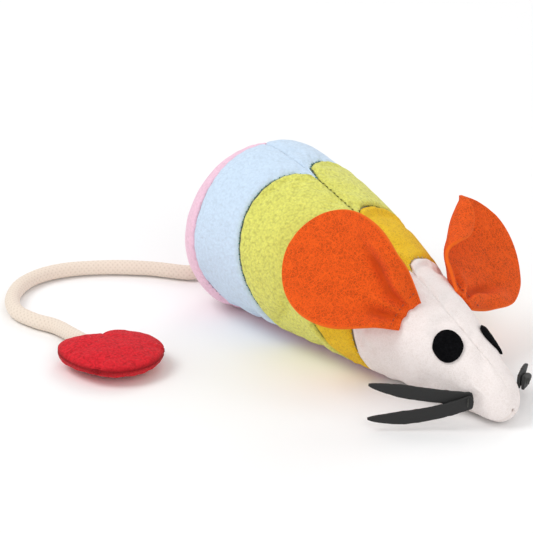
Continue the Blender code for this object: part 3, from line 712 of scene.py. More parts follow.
def whole_cover(material):
    """The sewn cover as one closed cloth: each panel's grid, and the welded mesh that they make."""
    slack = -0.9 * MM
    blocks, points, seam_flags = {}, [], []
    keys = {}
    faces = []
    for side, band, angles, v in cover_panels():
        arc = patch_parameters(band, BANDS[band][1], v, side)
        grid = body_points(arc, np.broadcast_to(angles, arc.shape), slack)
        rows, columns = arc.shape
        index = np.zeros((rows, columns), int)
        for i in range(rows):
            for j in range(columns):
                key = tuple(np.round(grid[i, j] / (0.02 * MM)).astype(int))
                if key not in keys:
                    keys[key] = len(points)
                    points.append(grid[i, j])
                    seam_flags.append(False)
                index[i, j] = keys[key]
                if i in (0, rows - 1) or (side != "belly" and j in (0, columns - 1)):
                    seam_flags[keys[key]] = True
        blocks[(side, band)] = index
        quads = grid_faces(rows, columns)
        flat = index.ravel()
        for quad in quads:
            face = [int(flat[k]) for k in quad]
            if len(set(face)) == 4:
                faces.append(face if side != "right" else face[::-1])
    obj = mesh_object("whole_cover", np.array(points), faces, material)
    held = np.nonzero(np.array(seam_flags))[0]
    return obj, blocks, held


def seam_relief(shape, gaps, along, shares, seed):
    """How far the cloth moves outwards near its seams, from distances to and along each seam and its strength."""
    look = settings().cover
    lift = np.zeros(shape)
    for k, (gap, run, share) in enumerate(zip(gaps, along, shares)):
        lift -= share * look.seam_depth * np.exp(-(gap / look.seam_width) ** 1.2)
        phase = 2.2 * np.sin(run / (7.3 * MM) + seed + k)
        wave = np.sin(2 * math.pi * run / look.pucker_spacing + phase)
        beside = np.exp(-gap / (3.2 * MM)) * (1 - np.exp(-gap / (0.6 * MM)))
        lift += share * look.pucker_height * wave * beside
    return lift


def make_cover():
    look = settings().cover
    materials = {}
    for _, _, dye_name, slot in BANDS:
        builder = fleece if slot.endswith("fleece") else felt
        materials[slot] = builder(slot, getattr(look, dye_name), **CLOTH_LOOKS[slot])
    whole, blocks, held = whole_cover(materials["pink_fleece"])
    rest = np.array([v.co for v in whole.data.vertices])
    blow_up(whole, held, 5.0, look.swell)
    blown = np.array([v.co for v in whole.data.vertices])
    bpy.data.objects.remove(whole, do_unlink=True)
    to_nose = np.clip((BODY_LENGTH / 2 - rest[:, :1]) / NOSE_FADE, 0, 1)
    blown = rest + (blown - rest) * to_nose
    seams = {}
    belly_parts = []
    for side, band, angles, v in cover_panels():
        rows = BANDS[band][1]
        grid = upsample(blown[blocks[(side, band)]], REFINE)
        arc_coarse = patch_parameters(band, rows, v, side)
        arc = upsample(arc_coarse[..., None], REFINE)[..., 0]
        angle = upsample(np.broadcast_to(angles, arc_coarse.shape)[..., None].copy(), REFINE)[..., 0]
        radius = np.interp(arc, ARC_LENGTHS, RADII)
        round_run = np.radians(np.abs(angle)) * radius
        no_seam = np.full_like(arc, 1.0)
        gap_rear = (arc - arc[:1]) if band > 0 else no_seam
        gap_front = (arc[-1:] - arc) if band < len(BANDS) - 1 else no_seam
        if side == "belly":
            gaps = [np.radians(np.abs(angle - angle[:, [edge]])) * radius for edge in (0, -1)]
            along = [arc, arc]
            shares = [BELLY_SEAM_SHARE] * 2
        else:
            to_belly = np.radians(FLANK_ANGLE - np.abs(angle)) * radius
            gaps = [np.abs(round_run), to_belly, gap_rear, gap_front]
            along = [arc, arc, round_run, round_run]
            shares = [TOP_SEAM_SHARES[band], BELLY_SEAM_SHARE, CROSS_SEAM_SHARES[max(band - 1, 0)],
                      CROSS_SEAM_SHARES[min(band, len(CROSS_SEAM_SHARES) - 1)]]
        normal = grid_normals(grid)
        if (normal * outward_from_axis(grid)).sum() < 0:
            normal = -normal
        lift = seam_relief(arc.shape, gaps, along, shares, 1.7 * band)
        lift += look.lump_height * (noise_field(grid, 14 * MM, 1) + 0.3 * noise_field(grid, 5 * MM, 2))
        lift *= np.clip(radius / (24 * MM), 0.1, 1.0)
        grid = grid + normal * lift[..., None]
        grid[..., 2] = np.maximum(grid[..., 2], 0.0)
        # Painted shade: how dark the cloth is painted in the valley along each seam, by its closeness to that
        # seam.
        seam = np.max([share * np.exp(-(gap / (0.55 * MM)) ** 1.5) for gap, share in zip(gaps, shares)], 0)
        if side == "belly":
            belly_parts.append((grid, seam))
            continue
        seams[(side, band)] = grid
        name, _, _, slot = BANDS[band]
        faces = grid_faces(*arc.shape, flip=(side == "right"))
        obj = mesh_object(f"{side}_{name}_cloth", grid, faces, materials[slot], {"seam": seam})
        thicken(obj, CLOTH_THICKNESS, rounding=0)
        finish_piece(obj, "mouse_body", slot, f"{side}_{name}")
    head_band = len(BANDS) - 1
    for name, parts, slot in (("belly_panel", belly_parts[:head_band], "pink_fleece"),
                              ("chin_panel", belly_parts[head_band:], "white_felt")):
        joined = np.concatenate([parts[0][0]] + [p[0][1:] for p in parts[1:]])
        seam = np.concatenate([parts[0][1]] + [p[1][1:] for p in parts[1:]])
        obj = mesh_object(f"{name}_cloth", joined, grid_faces(*seam.shape), materials[slot], {"seam": seam})
        thicken(obj, CLOTH_THICKNESS, rounding=0)
        finish_piece(obj, "mouse_body", slot, name)
    return seams


# ---------------------------------------------------------------- rope
def smooth_route(points, spacing):
    """Evenly spaced points on a Catmull-Rom curve through the route's points."""
    knots = np.array([tuple(p) for p in points])
    padded = np.vstack([2 * knots[0] - knots[1], knots, 2 * knots[-1] - knots[-2]])
    samples_per_span = 24
    dense = []
    for i in range(1, len(padded) - 2):
        for t in np.arange(samples_per_span) / samples_per_span:
            dense.append(cubic(*padded[i - 1:i + 3], t))
    dense.append(knots[-1])
    dense = np.array(dense)
    along = np.concatenate([[0.0], np.cumsum(np.linalg.norm(np.diff(dense, axis=0), axis=1))])
    wanted = np.linspace(0.0, along[-1], max(int(round(along[-1] / spacing)), 2) + 1)
    return np.stack([np.interp(wanted, along, dense[:, k]) for k in range(3)], -1)


def tail_exit():
    """Point at the back of the belly panel where the rope comes out."""
    low, high = 0.0, REAR_ROUND
    for _ in range(40):
        middle = (low + high) / 2
        if body_point(middle, 180.0, 1).z > TAIL_EXIT_HEIGHT:
            low = middle
        else:
            high = middle
    return body_point(low, 180.0, 1)


def heart_frame():
    turn = math.radians(HEART_HEADING)
    along = np.array([math.cos(turn), math.sin(turn), 0.0])
    across = np.array([-math.sin(turn), math.cos(turn), 0.0])
    return np.array([*HEART_CENTRE, 0.0]), along, across


def heart_radius(turn):
    """Radius of the heart's outline at an angle from the direction that the rope enters in."""
    swell = sum(c * np.cos(n * turn) + d * np.sin(n * turn) for n, c, d in HEART_WAVES)
    off_notch = np.pi - np.abs(np.mod(turn + np.pi, 2 * np.pi) - np.pi)
    notch = HEART_NOTCH * np.exp(-(off_notch / math.radians(HEART_NOTCH_ANGLE)) ** 2)
    return HEART_RADIUS * (1 + swell) - notch


def heart_offset(reach, turn, along, across):
    """Offset from the heart's centre, in the floor plane, at a distance and an angle."""
    return (reach * np.cos(turn))[..., None] * along + (reach * np.sin(turn))[..., None] * across


def rope_mouth():
    """Where the rope enters the heart, and the direction it enters in."""
    centre, along, _ = heart_frame()
    mouth = centre - along * heart_radius(math.pi)
    mouth[2] = HEART_SEAM_HEIGHT - HEART_ROPE_DROP
    return mouth, along


def rope_path(spacing):
    """The rope's middle line from its buried end, over the floor, into the heart."""
    exit_point = np.array(tail_exit())
    mouth, along = rope_mouth()
    step_out = np.array([-1.0, 0.0, 0.0])
    route = [exit_point - step_out * TAIL_BURIED, exit_point + step_out * 0.002]
    dip = exit_point + step_out * 0.009 + np.array([0.0, -0.003, 0.0])
    dip[2] = (exit_point[2] + ROPE_REST_HEIGHT) / 2 - MM
    route.append(dip)
    route += [np.array([x, y, ROPE_REST_HEIGHT]) for x, y in TAIL_ROUTE]
    rise = mouth + (route[-1] - mouth) * 0.4
    route += [rise, mouth, mouth + along * HEART_ROPE_INSIDE]
    points = smooth_route(route, spacing)
    points[:, 2] = np.maximum(points[:, 2], ROPE_REST_HEIGHT)
    return points


def make_rope():
    """A plaited cotton cord: two families of strands wind round it and pass over and under each other."""
    look = settings().tail
    step = 0.4 * MM
    path = rope_path(step)
    sides = 72
    points, faces = tube_mesh(path, ROPE_RADIUS, sides)
    count = len(path)
    run = np.arange(count)[:, None] * step
    turn = np.linspace(0, 2 * math.pi, sides, endpoint=False)[None]
    strands = look.strands
    climb = 2 * math.pi * run / look.plait_pitch * strands
    one = np.cos((strands * turn + climb) / 2) ** 2
    other = np.cos((strands * turn - climb) / 2) ** 2
    over = 0.5 + 0.5 * np.sin(strands * turn / 2) * np.sin(climb / 2)
    height = np.maximum(one * (0.55 + 0.45 * over), other * (1.0 - 0.45 * over))
    groove = np.clip(1.0 - height, 0.0, 1.0)
    rings = points[:count * sides].reshape(count, sides, 3)
    outward = rings - path[:, None]
    outward /= np.linalg.norm(outward, axis=-1, keepdims=True)
    wobble = 0.12 * MM * noise_field(path[:, None], 9 * MM, 5)
    rings = rings + outward * (wobble - look.plait_depth * groove)[..., None]
    points[:count * sides] = rings.reshape(-1, 3)
    # Painted shade in the grooves between strands, passed to the material as its seam attribute.
    seam = np.concatenate([groove.ravel() ** 1.5, [0.0, 0.0]])
    obj = mesh_object("tail_rope", points, faces, cotton("cotton_rope", look.cotton), {"seam": seam})
    finish_piece(obj, "tail", "cotton_rope", "tail_cord")
    return obj, path


# ---------------------------------------------------------------- heart
def unit_disc(count):
    share = np.linspace(-1.0, 1.0, count)
    a, b = np.meshgrid(share, share, indexing="ij")
    return a * np.sqrt(1 - b * b / 2), b * np.sqrt(1 - a * a / 2)


def make_heart():
    """Two halves of fleece sewn round their edge, turned and stuffed."""
    look = settings().heart
    material = fleece("red_felt", look.red, tuft=1.0, contrast=0.90, depth=0.80, seam_shade_tone=0.40, sheen=0.05)
    centre, along, across = heart_frame()
    coarse = 29
    u, v = unit_disc(coarse)
    radius, turn = np.hypot(u, v), np.arctan2(v, u)
    reach = (heart_radius(turn) - 0.6 * MM) * radius
    edge = np.sqrt(np.maximum(1 - radius * radius, 0.0))
    flat = centre + heart_offset(reach, turn, along, across)
    halves = []
    for direction, crown in ((1, HEART_UPPER_CROWN), (-1, HEART_LOWER_CROWN)):
        grid = flat.copy()
        grid[..., 2] = HEART_SEAM_HEIGHT + direction * (crown - 0.4 * MM) * edge
        halves.append(grid)
    index_top = np.arange(coarse * coarse).reshape(coarse, coarse)
    index_low = index_top + coarse * coarse
    border = np.zeros((coarse, coarse), bool)
    border[[0, -1]] = True
    border[:, [0, -1]] = True
    index_low[border] = index_top[border]
    used, inverse = np.unique(np.concatenate([index_top.ravel(), index_low.ravel()]), return_inverse=True)
    everything = np.concatenate([halves[0].reshape(-1, 3), halves[1].reshape(-1, 3)])[used]
    top, low = inverse[:coarse * coarse], inverse[coarse * coarse:]
    quads = grid_faces(coarse, coarse)
    faces = [[int(top[k]) for k in q] for q in quads] + [[int(low[k]) for k in q[::-1]] for q in quads]
    whole = mesh_object("whole_heart", everything, faces, material)
    blow_up(whole, np.unique(top.reshape(coarse, coarse)[border]), 4.0, 1.2 * MM)
    blown = np.array([p.co for p in whole.data.vertices])
    bpy.data.objects.remove(whole, do_unlink=True)
    made = []
    for direction, order, node in ((1, top, "heart_upper"), (-1, low, "heart_lower")):
        grid = upsample(blown[order].reshape(coarse, coarse, 3), REFINE)
        rho = upsample(radius[..., None], REFINE)[..., 0]
        gap = (1 - np.clip(rho, 0, 1)) * HEART_RADIUS
        x, y = upsample(u[..., None], REFINE)[..., 0], upsample(v[..., None], REFINE)[..., 0]
        run = np.arctan2(y, x) * HEART_RADIUS
        normal = grid_normals(grid)
        if (normal[..., 2]).sum() * direction < 0:
            normal = -normal
        lift = -look.seam_depth * np.exp(-(gap / (1.2 * MM)) ** 1.2)
        wave = np.sin(2 * math.pi * run / (4.6 * MM) + 2.0 * np.sin(run / (6 * MM) + direction))
        strength = 0.5 + 0.5 * np.sin(run / (11 * MM) + 1.3)
        lift += 0.32 * MM * wave * strength * np.exp(-gap / (3.5 * MM)) * (1 - np.exp(-gap / (0.8 * MM)))
        lift += 0.75 * MM * noise_field(grid, 10 * MM, 3) + 0.25 * MM * noise_field(grid, 4 * MM, 4)
        tame = np.clip(gap / (2.5 * MM), 0.25, 1.0)
        grid = grid + normal * (lift * tame)[..., None]
        grid[..., 2] = np.maximum(grid[..., 2], 0.05 * MM)
        # Painted shade in the valley along the heart's edge seam.
        seam = np.exp(-(gap / (0.7 * MM)) ** 1.5)
        faces = grid_faces(*rho.shape, flip=direction < 0)
        obj = mesh_object(f"{node}_cloth", grid, faces, material, {"seam": seam})
        thicken(obj, 0.8 * MM, rounding=0)
        finish_piece(obj, "tail", "red_felt", node)
        made.append(obj)
    round_turn = np.linspace(0.25, 2 * math.pi - 0.25, 160) + math.pi
    reach = heart_radius(round_turn) - 1.6 * MM
    line = centre + heart_offset(reach, round_turn, along, across)
    outward = line - centre
    line[:, 2] = HEART_SEAM_HEIGHT
    paths = seam_threads(line, outward, 2.9 * MM, 1.5 * MM, 0.1 * MM, 9.0)
    obj = threads_object("heart_seam_stitches", paths, 0.22 * MM, thread("maroon_thread", "5C0B12"))
    made.append(finish_piece(obj, "tail", "dark_thread"))
    return made


# ---------------------------------------------------------------- eyes
def make_eyes():
    look = settings().felt
    material = felt("black_felt", look.black, dark=0.4, light=1.8, depth=0.8, sheen=0.0,
                    edge_highlight_tone=1.5, gloss=0.03)
    for name, (side, station, middle_angle) in EYES.items():
        a, b = unit_disc(33)
        head_radius = float(np.interp(arc_of_station(station), ARC_LENGTHS, RADII))
        arc = arc_of_station(station) + a * EYE_RADIUS
        angle = side * (middle_angle + np.degrees(b * EYE_RADIUS / head_radius))
        rho = np.hypot(a, b)
        lift = 0.4 * MM + 0.9 * MM * np.sqrt(np.clip(1 - 0.8 * rho ** 6, 0, 1))
        grid = body_points(arc, angle, lift)
        grid += 0.12 * MM * noise_field(grid, 3 * MM, 6)[..., None]
        # Painted highlight along the eye's cut edge.
        rim_highlight = np.clip((rho - 0.93) / 0.07, 0, 1) * 0.5
        obj = mesh_object(f"{name}_eye_felt", grid, grid_faces(33, 33, flip=side < 0), material, {"rim_highlight": rim_highlight})
        thicken(obj, 0.9 * MM, rounding=1)
        finish_piece(obj, "mouse_body", "black_felt", f"{name}_eye")


# ---------------------------------------------------------------- ears
def ear_axes(spec):
    """Lengthways direction, across direction and the hollow side's normal of an ear."""
    yaw, pitch, roll = np.radians(spec[4:7])
    lengthways = np.array([math.cos(pitch) * math.cos(yaw), math.cos(pitch) * math.sin(yaw), math.sin(pitch)])
    ahead = np.array([1.0, 0.0, 0.0])
    ahead = ahead - lengthways * ahead.dot(lengthways)
    ahead /= np.linalg.norm(ahead)
    sideways = np.cross(lengthways, ahead)
    face = ahead * math.cos(roll) + sideways * math.sin(roll)
    return lengthways, np.cross(face, lengthways), face


def ear_base(spec):
    side, station, angle, lift = spec[:4]
    point, normal, _, _ = surface_frame(station, angle, side)
    return point + normal * lift


def ear_half_width(radius, neck, length):
    """Half width of the ear's outline at a length from its base: a straight-sided neck that runs onto a disc."""
    centre = EAR_TAB_LENGTH + radius
    corner_angle = math.pi - math.atan2(neck, centre) - math.acos(radius / math.hypot(centre, neck))
    corner = centre + radius * math.cos(corner_angle)
    if length < corner:
        return neck + (radius * math.sin(corner_angle) - neck) * length / corner
    return math.sqrt(max(radius ** 2 - (length - centre) ** 2, 0.0))


def ear_points(name, lengths, shares):
    """Points of an ear's hollow face, by length from its base and share from -1 to 1 across it."""
    spec = EARS[name]
    cup_base, cup_tip, middle, bend, roll_base, roll_tip, roll_at, radius, neck = spec[7:16]
    base = np.array(ear_base(spec))
    lengthways, across, face = ear_axes(spec)
    total = EAR_TAB_LENGTH + 2 * radius
    out = np.zeros((*lengths.shape, 3))
    for i in range(lengths.shape[0]):
        length = lengths[i, 0]
        half = ear_half_width(radius, neck, length)
        s = length / total
        fine = np.linspace(-half, half, 61)
        curl = max(cup_base + (cup_tip - cup_base) * s, 0.02) / radius
        roll = max(roll_base + (roll_tip - roll_base) * s, 0.0) / radius
        roll *= min(max((half - roll_at) / EAR_ROLL_FULL, 0.0), 1.0)
        local = curl + roll / (1 + np.exp(-(fine - roll_at) / EAR_ROLL_START))
        turn = np.concatenate([[0.0], np.cumsum((local[1:] + local[:-1]) / 2 * np.diff(fine))])
        turn -= np.interp(middle * min(half / radius, 1.0), fine, turn)
        centred = (turn[1:] + turn[:-1]) / 2
        sideways = np.concatenate([[0.0], np.cumsum(np.cos(centred) * np.diff(fine))])
        forwards = np.concatenate([[0.0], np.cumsum(np.sin(centred) * np.diff(fine))])
        sideways -= np.interp(0.0, fine, sideways)
        forwards -= np.interp(0.0, fine, forwards)
        reach = shares[i] * half
        lateral, hollow = np.interp(reach, fine, sideways), np.interp(reach, fine, forwards)
        turned = bend * s
        drop = total / bend * math.sin(turned) if abs(bend) > 1e-4 else length
        lean = total / bend * (1 - math.cos(turned)) if abs(bend) > 1e-4 else 0.0
        leaning = face * math.cos(turned) - lengthways * math.sin(turned)
        spine = base + drop * lengthways + lean * face
        out[i] = spine + lateral[:, None] * across + hollow[:, None] * leaning
    return out


# Gathers at the ear's stitched base: height, middle of their reach and its length along the ear.
EAR_GATHERS = (1.6 * MM, 7 * MM, 6 * MM)
# Folds of the ear: height, share across, width in shares, middle and length of its reach along the ear, and
# the length over which it slants by one share. In order: a crease and a raised fold by the front edge, and a
# shallow crease in the hollow.
EAR_FOLDS = [
    (-2.8 * MM, -0.38, 0.11, 16 * MM, 9 * MM, 60 * MM),
    (2.2 * MM, -0.72, 0.17, 16 * MM, 9 * MM, math.inf),
    (-1.0 * MM, 0.42, 0.13, 9 * MM, 6 * MM, math.inf),
]
EAR_FOLD_SHADE = 1.9 * MM     # depth at which a fold is fully dark
EAR_PRESS_LENGTH = 8 * MM     # length from the base over which the felt is pressed onto the head
EAR_PRESS_LIFT = 1.2 * MM


def ear_relief(length, share):
    """Folds towards the hollow side, and how deep each point lies in one."""
    height, middle, reach = EAR_GATHERS
    fan = np.exp(-((length - middle) / reach) ** 2)
    relief = height * fan * np.sin(2 * math.pi * (1.25 * share + 0.20 * np.sin(3 * share)))
    for height, place, width, middle, reach, slant in EAR_FOLDS:
        off = share - place + (length - middle) / slant
        relief = relief + height * np.exp(-(off / width) ** 2) * np.exp(-((length - middle) / reach) ** 2)
    return relief, np.clip(-relief / EAR_FOLD_SHADE, 0.0, 1.0) ** 1.5


def settled(points, length):
    """The felt near the stitched base, pressed down to lie along the head."""
    press = np.clip(1 - length / EAR_PRESS_LENGTH, 0, 1) ** 2
    x = points[..., 0] + BODY_LENGTH / 2
    sideways, upwards = points[..., 1], points[..., 2] - body_centre_height(x)
    distance = np.hypot(sideways, upwards)
    wanted = distance + press * (body_radius(x) + EAR_PRESS_LIFT - distance)
    out = points.copy()
    out[..., 1] = sideways * wanted / distance
    out[..., 2] = upwards * wanted / distance + body_centre_height(x)
    return out


def make_ears():
    look = settings().felt
    material = felt("orange_felt", look.orange, dark=0.50, light=1.22, depth=0.9, sheen=0.03, edge_highlight_tone=1.40)
    stitch = thread("orange_thread", "B9480F")
    for name, spec in EARS.items():
        radius = spec[14]
        rows, columns = 60, 61
        u = np.linspace(0, 1, rows)
        tip = EAR_TAB_LENGTH + EAR_TIP_SHARE * radius
        length = np.repeat((tip * np.sin(u * math.pi / 2) ** 1.25)[:, None], columns, 1)
        share = np.repeat(np.linspace(-1, 1, columns)[None], rows, 0)
        grid = ear_points(name, length, share)
        normal = grid_normals(grid)
        _, _, face = ear_axes(spec)
        flip = float((normal.reshape(-1, 3) @ face).sum()) < 0
        relief, fold = ear_relief(length, share)
        relief = relief + 0.5 * MM * noise_field(grid, 9 * MM, 8)
        grid = grid + normal * (relief * (-1 if flip else 1))[..., None]
        grid = settled(grid, length)
        # Painted highlight along the ear's cut edge, and painted shade in its folds from their depth.
        edge = np.minimum(1 - np.abs(share), (tip - length) / radius)
        rim_highlight = np.exp(-edge / 0.012)
        obj = mesh_object(f"{name}_ear_felt", grid, grid_faces(rows, columns, flip=flip), material,
                          {"rim_highlight": rim_highlight, "seam": 0.8 * fold})
        thicken(obj, EAR_THICKNESS, rounding=1)
        finish_piece(obj, f"{name}_ear", "orange_felt", f"{name}_ear")
        row = np.full((1, 41), EAR_STITCH_OFFSET)
        line = settled(ear_points(name, row, np.linspace(-0.9, 0.9, 41)[None]), row)[0]
        lifted = line + face * 0.3 * MM
        paths = [lifted[i:i + 4] for i in range(0, 37, 5)]
        threads = threads_object(f"{name}_ear_stitches", paths, 0.32 * MM, stitch)
        finish_piece(threads, f"{name}_ear", "orange_thread", f"{name}_ear_stitch")


# ---------------------------------------------------------------- whiskers
def make_whiskers():
    material = bpy.data.materials["black_felt"]
    for name, (side, whole_length, sweep, rise, sag, layer) in WHISKERS.items():
        point, normal, _, _ = surface_frame(WHISKER_STATION, WHISKER_ANGLE, side)
        turn = math.radians(sweep)
        heading = np.array([-math.sin(turn), side * math.cos(turn), 0.0])
        face = np.array([math.cos(turn), side * math.sin(turn), 0.0])
        upward = np.array([0.0, 0.0, 1.0])
        root = np.array(point + normal * WHISKER_ROOT_LIFT) + face * layer * WHISKER_LAYER_STEP
        tilt = math.radians(rise)
        along = heading * math.cos(tilt) + upward * math.sin(tilt)
        across = upward * math.cos(tilt) - heading * math.sin(tilt)
        rows, columns = 60, 9
        u = np.linspace(0, 1, rows)
        length = whole_length * (1 - np.cos(u * math.pi)) / 2
        blunt = 1 - np.maximum(1 - length / WHISKER_ROOT_ROUND, 0.0) ** 2
        pointed = np.sqrt(np.clip((whole_length - length) / WHISKER_TIP_TAPER, 0.0, 1.0))
        half = WHISKER_WIDTH / 2 * np.maximum(np.minimum(blunt, pointed), WHISKER_LEAST_WIDTH)
        v = np.linspace(-1, 1, columns)
        wander = [noise.noise(Vector((float(x) / (1.6 * MM), layer * 9.0, side * 4.0))) for x in length]
        ragged = 1 + 0.10 * np.array(wander)
        arch = sag * 4 * (length / whole_length) * (1 - length / whole_length)
        grid = (root + length[:, None, None] * along
                + ((half * ragged)[:, None] * v[None] - arch[:, None])[..., None] * across)
        # Painted highlight along the whisker's long cut edges.
        rim_highlight = np.repeat(np.exp(-(1 - np.abs(v)) / 0.15)[None], rows, 0) * 0.4
        faces = grid_faces(rows, columns, flip=side < 0)
        obj = mesh_object(f"{name}_felt", grid, faces, material, {"rim_highlight": rim_highlight})
        thicken(obj, 1.2 * MM, rounding=1)
        finish_piece(obj, name, "black_felt", name)
    stitch = thread("dark_thread", "34342F")
    for name, side in (("right", -1), ("left", 1)):
        low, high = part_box(f"{name}_whisker_stitch")
        middle = (low + high) / 2
        steps = np.linspace(0.28, 0.72, 7)
        shift = 0.5 * MM
        paths = [[(middle.x + shift * k, middle.y + shift * k * side, low.z + (high.z - low.z) * t)
                  for t in steps] for k in (-1, 0, 1)]
        obj = threads_object(f"{name}_whisker_threads", paths, 0.25 * MM, stitch)
        finish_piece(obj, "mouse_body", "dark_thread", f"{name}_whisker_stitch")


# ---------------------------------------------------------------- stitches in the cover
STITCH_RISE = 0.35 * MM


def seam_threads(line, outward, spacing, length, rise, skew):
    """Short threads laid across a seam line, one every spacing."""
    along = np.concatenate([[0.0], np.cumsum(np.linalg.norm(np.diff(line, axis=0), axis=1))])
    tangent = np.gradient(line, axis=0)
    tangent /= np.linalg.norm(tangent, axis=1, keepdims=True)
    paths = []
    for run in np.arange(spacing * 0.5, along[-1] - spacing / 2, spacing):
        middle = np.array([np.interp(run, along, line[:, k]) for k in range(3)])
        way = np.array([np.interp(run, along, tangent[:, k]) for k in range(3)])
        up = np.array([np.interp(run, along, outward[:, k]) for k in range(3)])
        up /= np.linalg.norm(up)
        sideways = np.cross(up, way)
        slant = sideways + skew * way
        slant /= np.linalg.norm(slant)
        steps = np.linspace(-1, 1, 5)
        paths.append([middle + slant * s * length / 2 + up * rise * (1 - 0.7 * s * s) for s in steps])
    return paths


def make_stitches(seams):
    """The sewing that shows across the body, and along the top of the green band."""
    # name, band, colour, spacing, length and thickness of the stitches (mm)
    kinds = [
        ("pink_blue_stitches", 0, "C7B4CC", 2.4, 1.0, 0.30),
        ("blue_green_stitches", 1, "3F8A8C", 2.1, 1.0, 0.36),
        ("green_yellow_stitches", 2, "8A8F2E", 2.6, 1.2, 0.32),
        ("yellow_head_stitches", 3, "E9D3A8", 2.8, 1.2, 0.30),
    ]
    for name, band, colour, spacing, length, thickness in kinds:
        paths = []
        for side in ("right", "left"):
            line = seams[(side, band)][-1]
            paths += seam_threads(line, outward_from_axis(line), spacing * MM, length * MM, STITCH_RISE, 0.25)
        material = thread(name.replace("stitches", "thread"), colour)
        obj = threads_object(name, paths, thickness / 2 * MM, material)
        finish_piece(obj, "mouse_body", "dark_thread")
    line = seams[("right", 2)][:, 0]
    paths = seam_threads(line, outward_from_axis(line), 2.3 * MM, 0.9 * MM, STITCH_RISE, 0.9)
    obj = threads_object("green_top_stitches", paths, 0.17 * MM, thread("olive_thread", "5F6420"))
    finish_piece(obj, "mouse_body", "dark_thread")


# ---------------------------------------------------------------- stage
FLOOR_REACH = 3.0
FLOOR_DROP = 0.0002
WORLD_STRENGTH = 0.66
LIGHT_AIM = (0.0, 0.0, 0.03)
LIGHTS = [                    # name, place, size, power in watts
    ("key_light", (-0.5, -1.0, 1.5), 0.9, 11.5),
    ("front_light", (1.3, -0.4, 0.9), 0.8, 4.5),
    ("back_light", (-0.6, 1.1, 1.2), 0.8, 3.8),
]
CAMERA_BACK = (0.7115, -0.5722, 0.4078)      # from the aim towards the camera
CAMERA_RIGHT = (0.6267, 0.7793, 0.0)
CAMERA_AIM = (0.0, 0.0, 0.030)
CAMERA_DISTANCE = 1.440
CAMERA_LEFT_SHIFT = 0.038807
CAMERA_RISE = 0.005919


def make_stage():
    look = settings().stage
    material = bpy.data.materials.new("matte_paper_floor")
    material.use_nodes = True
    shader = material.node_tree.nodes["Principled BSDF"]
    shader.inputs["Base Color"].default_value = linear_rgb(look.floor)
    shader.inputs["Roughness"].default_value = 0.9
    corners = np.array([[x, y, 0.0] for x, y in ((-1, -1), (1, -1), (1, 1), (-1, 1))]) * FLOOR_REACH
    floor = mesh_object("floor", corners, [[0, 1, 2, 3]], material)
    floor.location.z = -FLOOR_DROP
    world = bpy.data.worlds.new("soft_studio")
    world.use_nodes = True
    world.node_tree.nodes["Background"].inputs["Color"].default_value = (1.0, 1.0, 1.0, 1.0)
    world.node_tree.nodes["Background"].inputs["Strength"].default_value = WORLD_STRENGTH
    bpy.context.scene.world = world
    for name, place, size, power in LIGHTS:
        data = bpy.data.lights.new(name, "AREA")
        data.energy = power
        data.size = size
        light = bpy.data.objects.new(name, data)
        light.location = place
        light.rotation_euler = (Vector(LIGHT_AIM) - Vector(place)).to_track_quat("-Z", "Y").to_euler()
        bpy.context.scene.collection.objects.link(light)
    data = bpy.data.cameras.new("camera")
    data.lens = look.lens
    data.clip_end = 20.0
    camera = bpy.data.objects.new("camera", data)
    back = Vector(CAMERA_BACK).normalized()
    right = Vector(CAMERA_RIGHT).normalized()
    above = back.cross(right)
    camera.location = (Vector(CAMERA_AIM) + back * CAMERA_DISTANCE
                       - right * CAMERA_LEFT_SHIFT + above * CAMERA_RISE)
    camera.rotation_euler = back.to_track_quat("Z", "Y").to_euler()
    bpy.context.scene.collection.objects.link(camera)
    bpy.context.scene.camera = camera
    bpy.context.scene.view_settings.view_transform = "Standard"


# ---------------------------------------------------------------- operators, panel and main
class MOUSE_OT_stage(bpy.types.Operator):
    """Lays the pale floor and sets the soft lights and the camera"""
    bl_idname = "mouse.stage"
    bl_label = "Stage"

    def execute(self, context):
        make_stage()
        return {"FINISHED"}


class MOUSE_OT_tail(bpy.types.Operator):
    """Plaits the cotton rope of the tail and pads the heart on its end"""
    bl_idname = "mouse.tail"
    bl_label = "Tail and heart"

    def execute(self, context):
        rope, path = make_rope()
        heart = make_heart()
        return {"FINISHED"}


class MOUSE_OT_cover(bpy.types.Operator):
    """Sews and stuffs the pieced cover of the body and head"""
    bl_idname = "mouse.cover"
    bl_label = "Cover"

    def execute(self, context):
        seams = make_cover()
        make_stitches(seams)
        return {"FINISHED"}


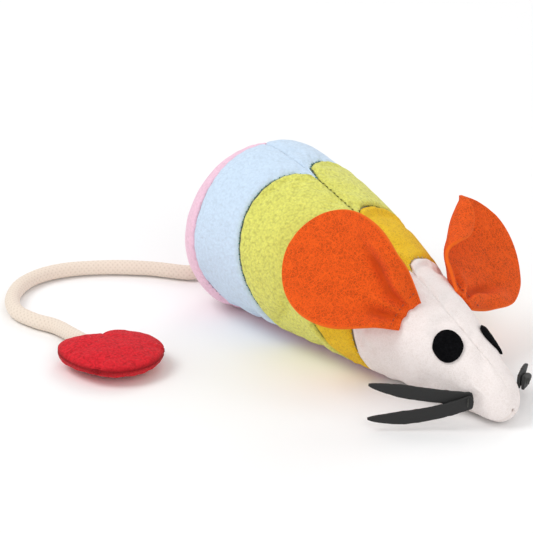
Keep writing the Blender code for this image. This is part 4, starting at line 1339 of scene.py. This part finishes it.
class MOUSE_OT_eyes(bpy.types.Operator):
    """Cuts the felt eyes and lays them on the head"""
    bl_idname = "mouse.eyes"
    bl_label = "Eyes"

    def execute(self, context):
        make_eyes()
        return {"FINISHED"}


class MOUSE_OT_ears(bpy.types.Operator):
    """Cuts, folds and stitches the felt ears"""
    bl_idname = "mouse.ears"
    bl_label = "Ears"

    def execute(self, context):
        make_ears()
        return {"FINISHED"}


class MOUSE_OT_whiskers(bpy.types.Operator):
    """Cuts the felt whiskers and stitches them to the cheeks"""
    bl_idname = "mouse.whiskers"
    bl_label = "Whiskers"

    def execute(self, context):
        make_whiskers()
        return {"FINISHED"}


OPERATORS = (MOUSE_OT_stage, MOUSE_OT_tail, MOUSE_OT_cover, MOUSE_OT_eyes, MOUSE_OT_ears, MOUSE_OT_whiskers)


class MOUSE_PT_sidebar(bpy.types.Panel):
    """Lists the steps that make the mouse"""
    bl_idname = "MOUSE_PT_sidebar"
    bl_label = "Patchwork mouse"
    bl_space_type = "VIEW_3D"
    bl_region_type = "UI"
    bl_category = "Patchwork mouse"

    def draw(self, context):
        for operator in OPERATORS:
            self.layout.operator(operator.bl_idname)


CLASSES = (
    MouseCoverSettings, MouseFeltSettings, MouseTailSettings, MouseHeartSettings, MouseStageSettings,
    MouseSettings, *OPERATORS, MOUSE_PT_sidebar,
)


def register():
    for entry in CLASSES:
        bpy.utils.register_class(entry)
    bpy.types.Scene.patchwork_mouse = bpy.props.PointerProperty(type=MouseSettings)


def unregister():
    del bpy.types.Scene.patchwork_mouse
    for entry in reversed(CLASSES):
        bpy.utils.unregister_class(entry)


def main():
    register()
    bpy.ops.mouse.stage()
    bpy.ops.mouse.tail()
    bpy.ops.mouse.cover()
    bpy.ops.mouse.eyes()
    bpy.ops.mouse.ears()
    bpy.ops.mouse.whiskers()
    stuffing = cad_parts["body_stuffing"]
    stuffing.data.materials[0] = fleece("polyester_stuffing", "F4F2EC", tuft=2.0)
    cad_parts["heart_stuffing"].data.materials[0] = stuffing.data.materials[0]


if __name__ == "__main__":
    main()
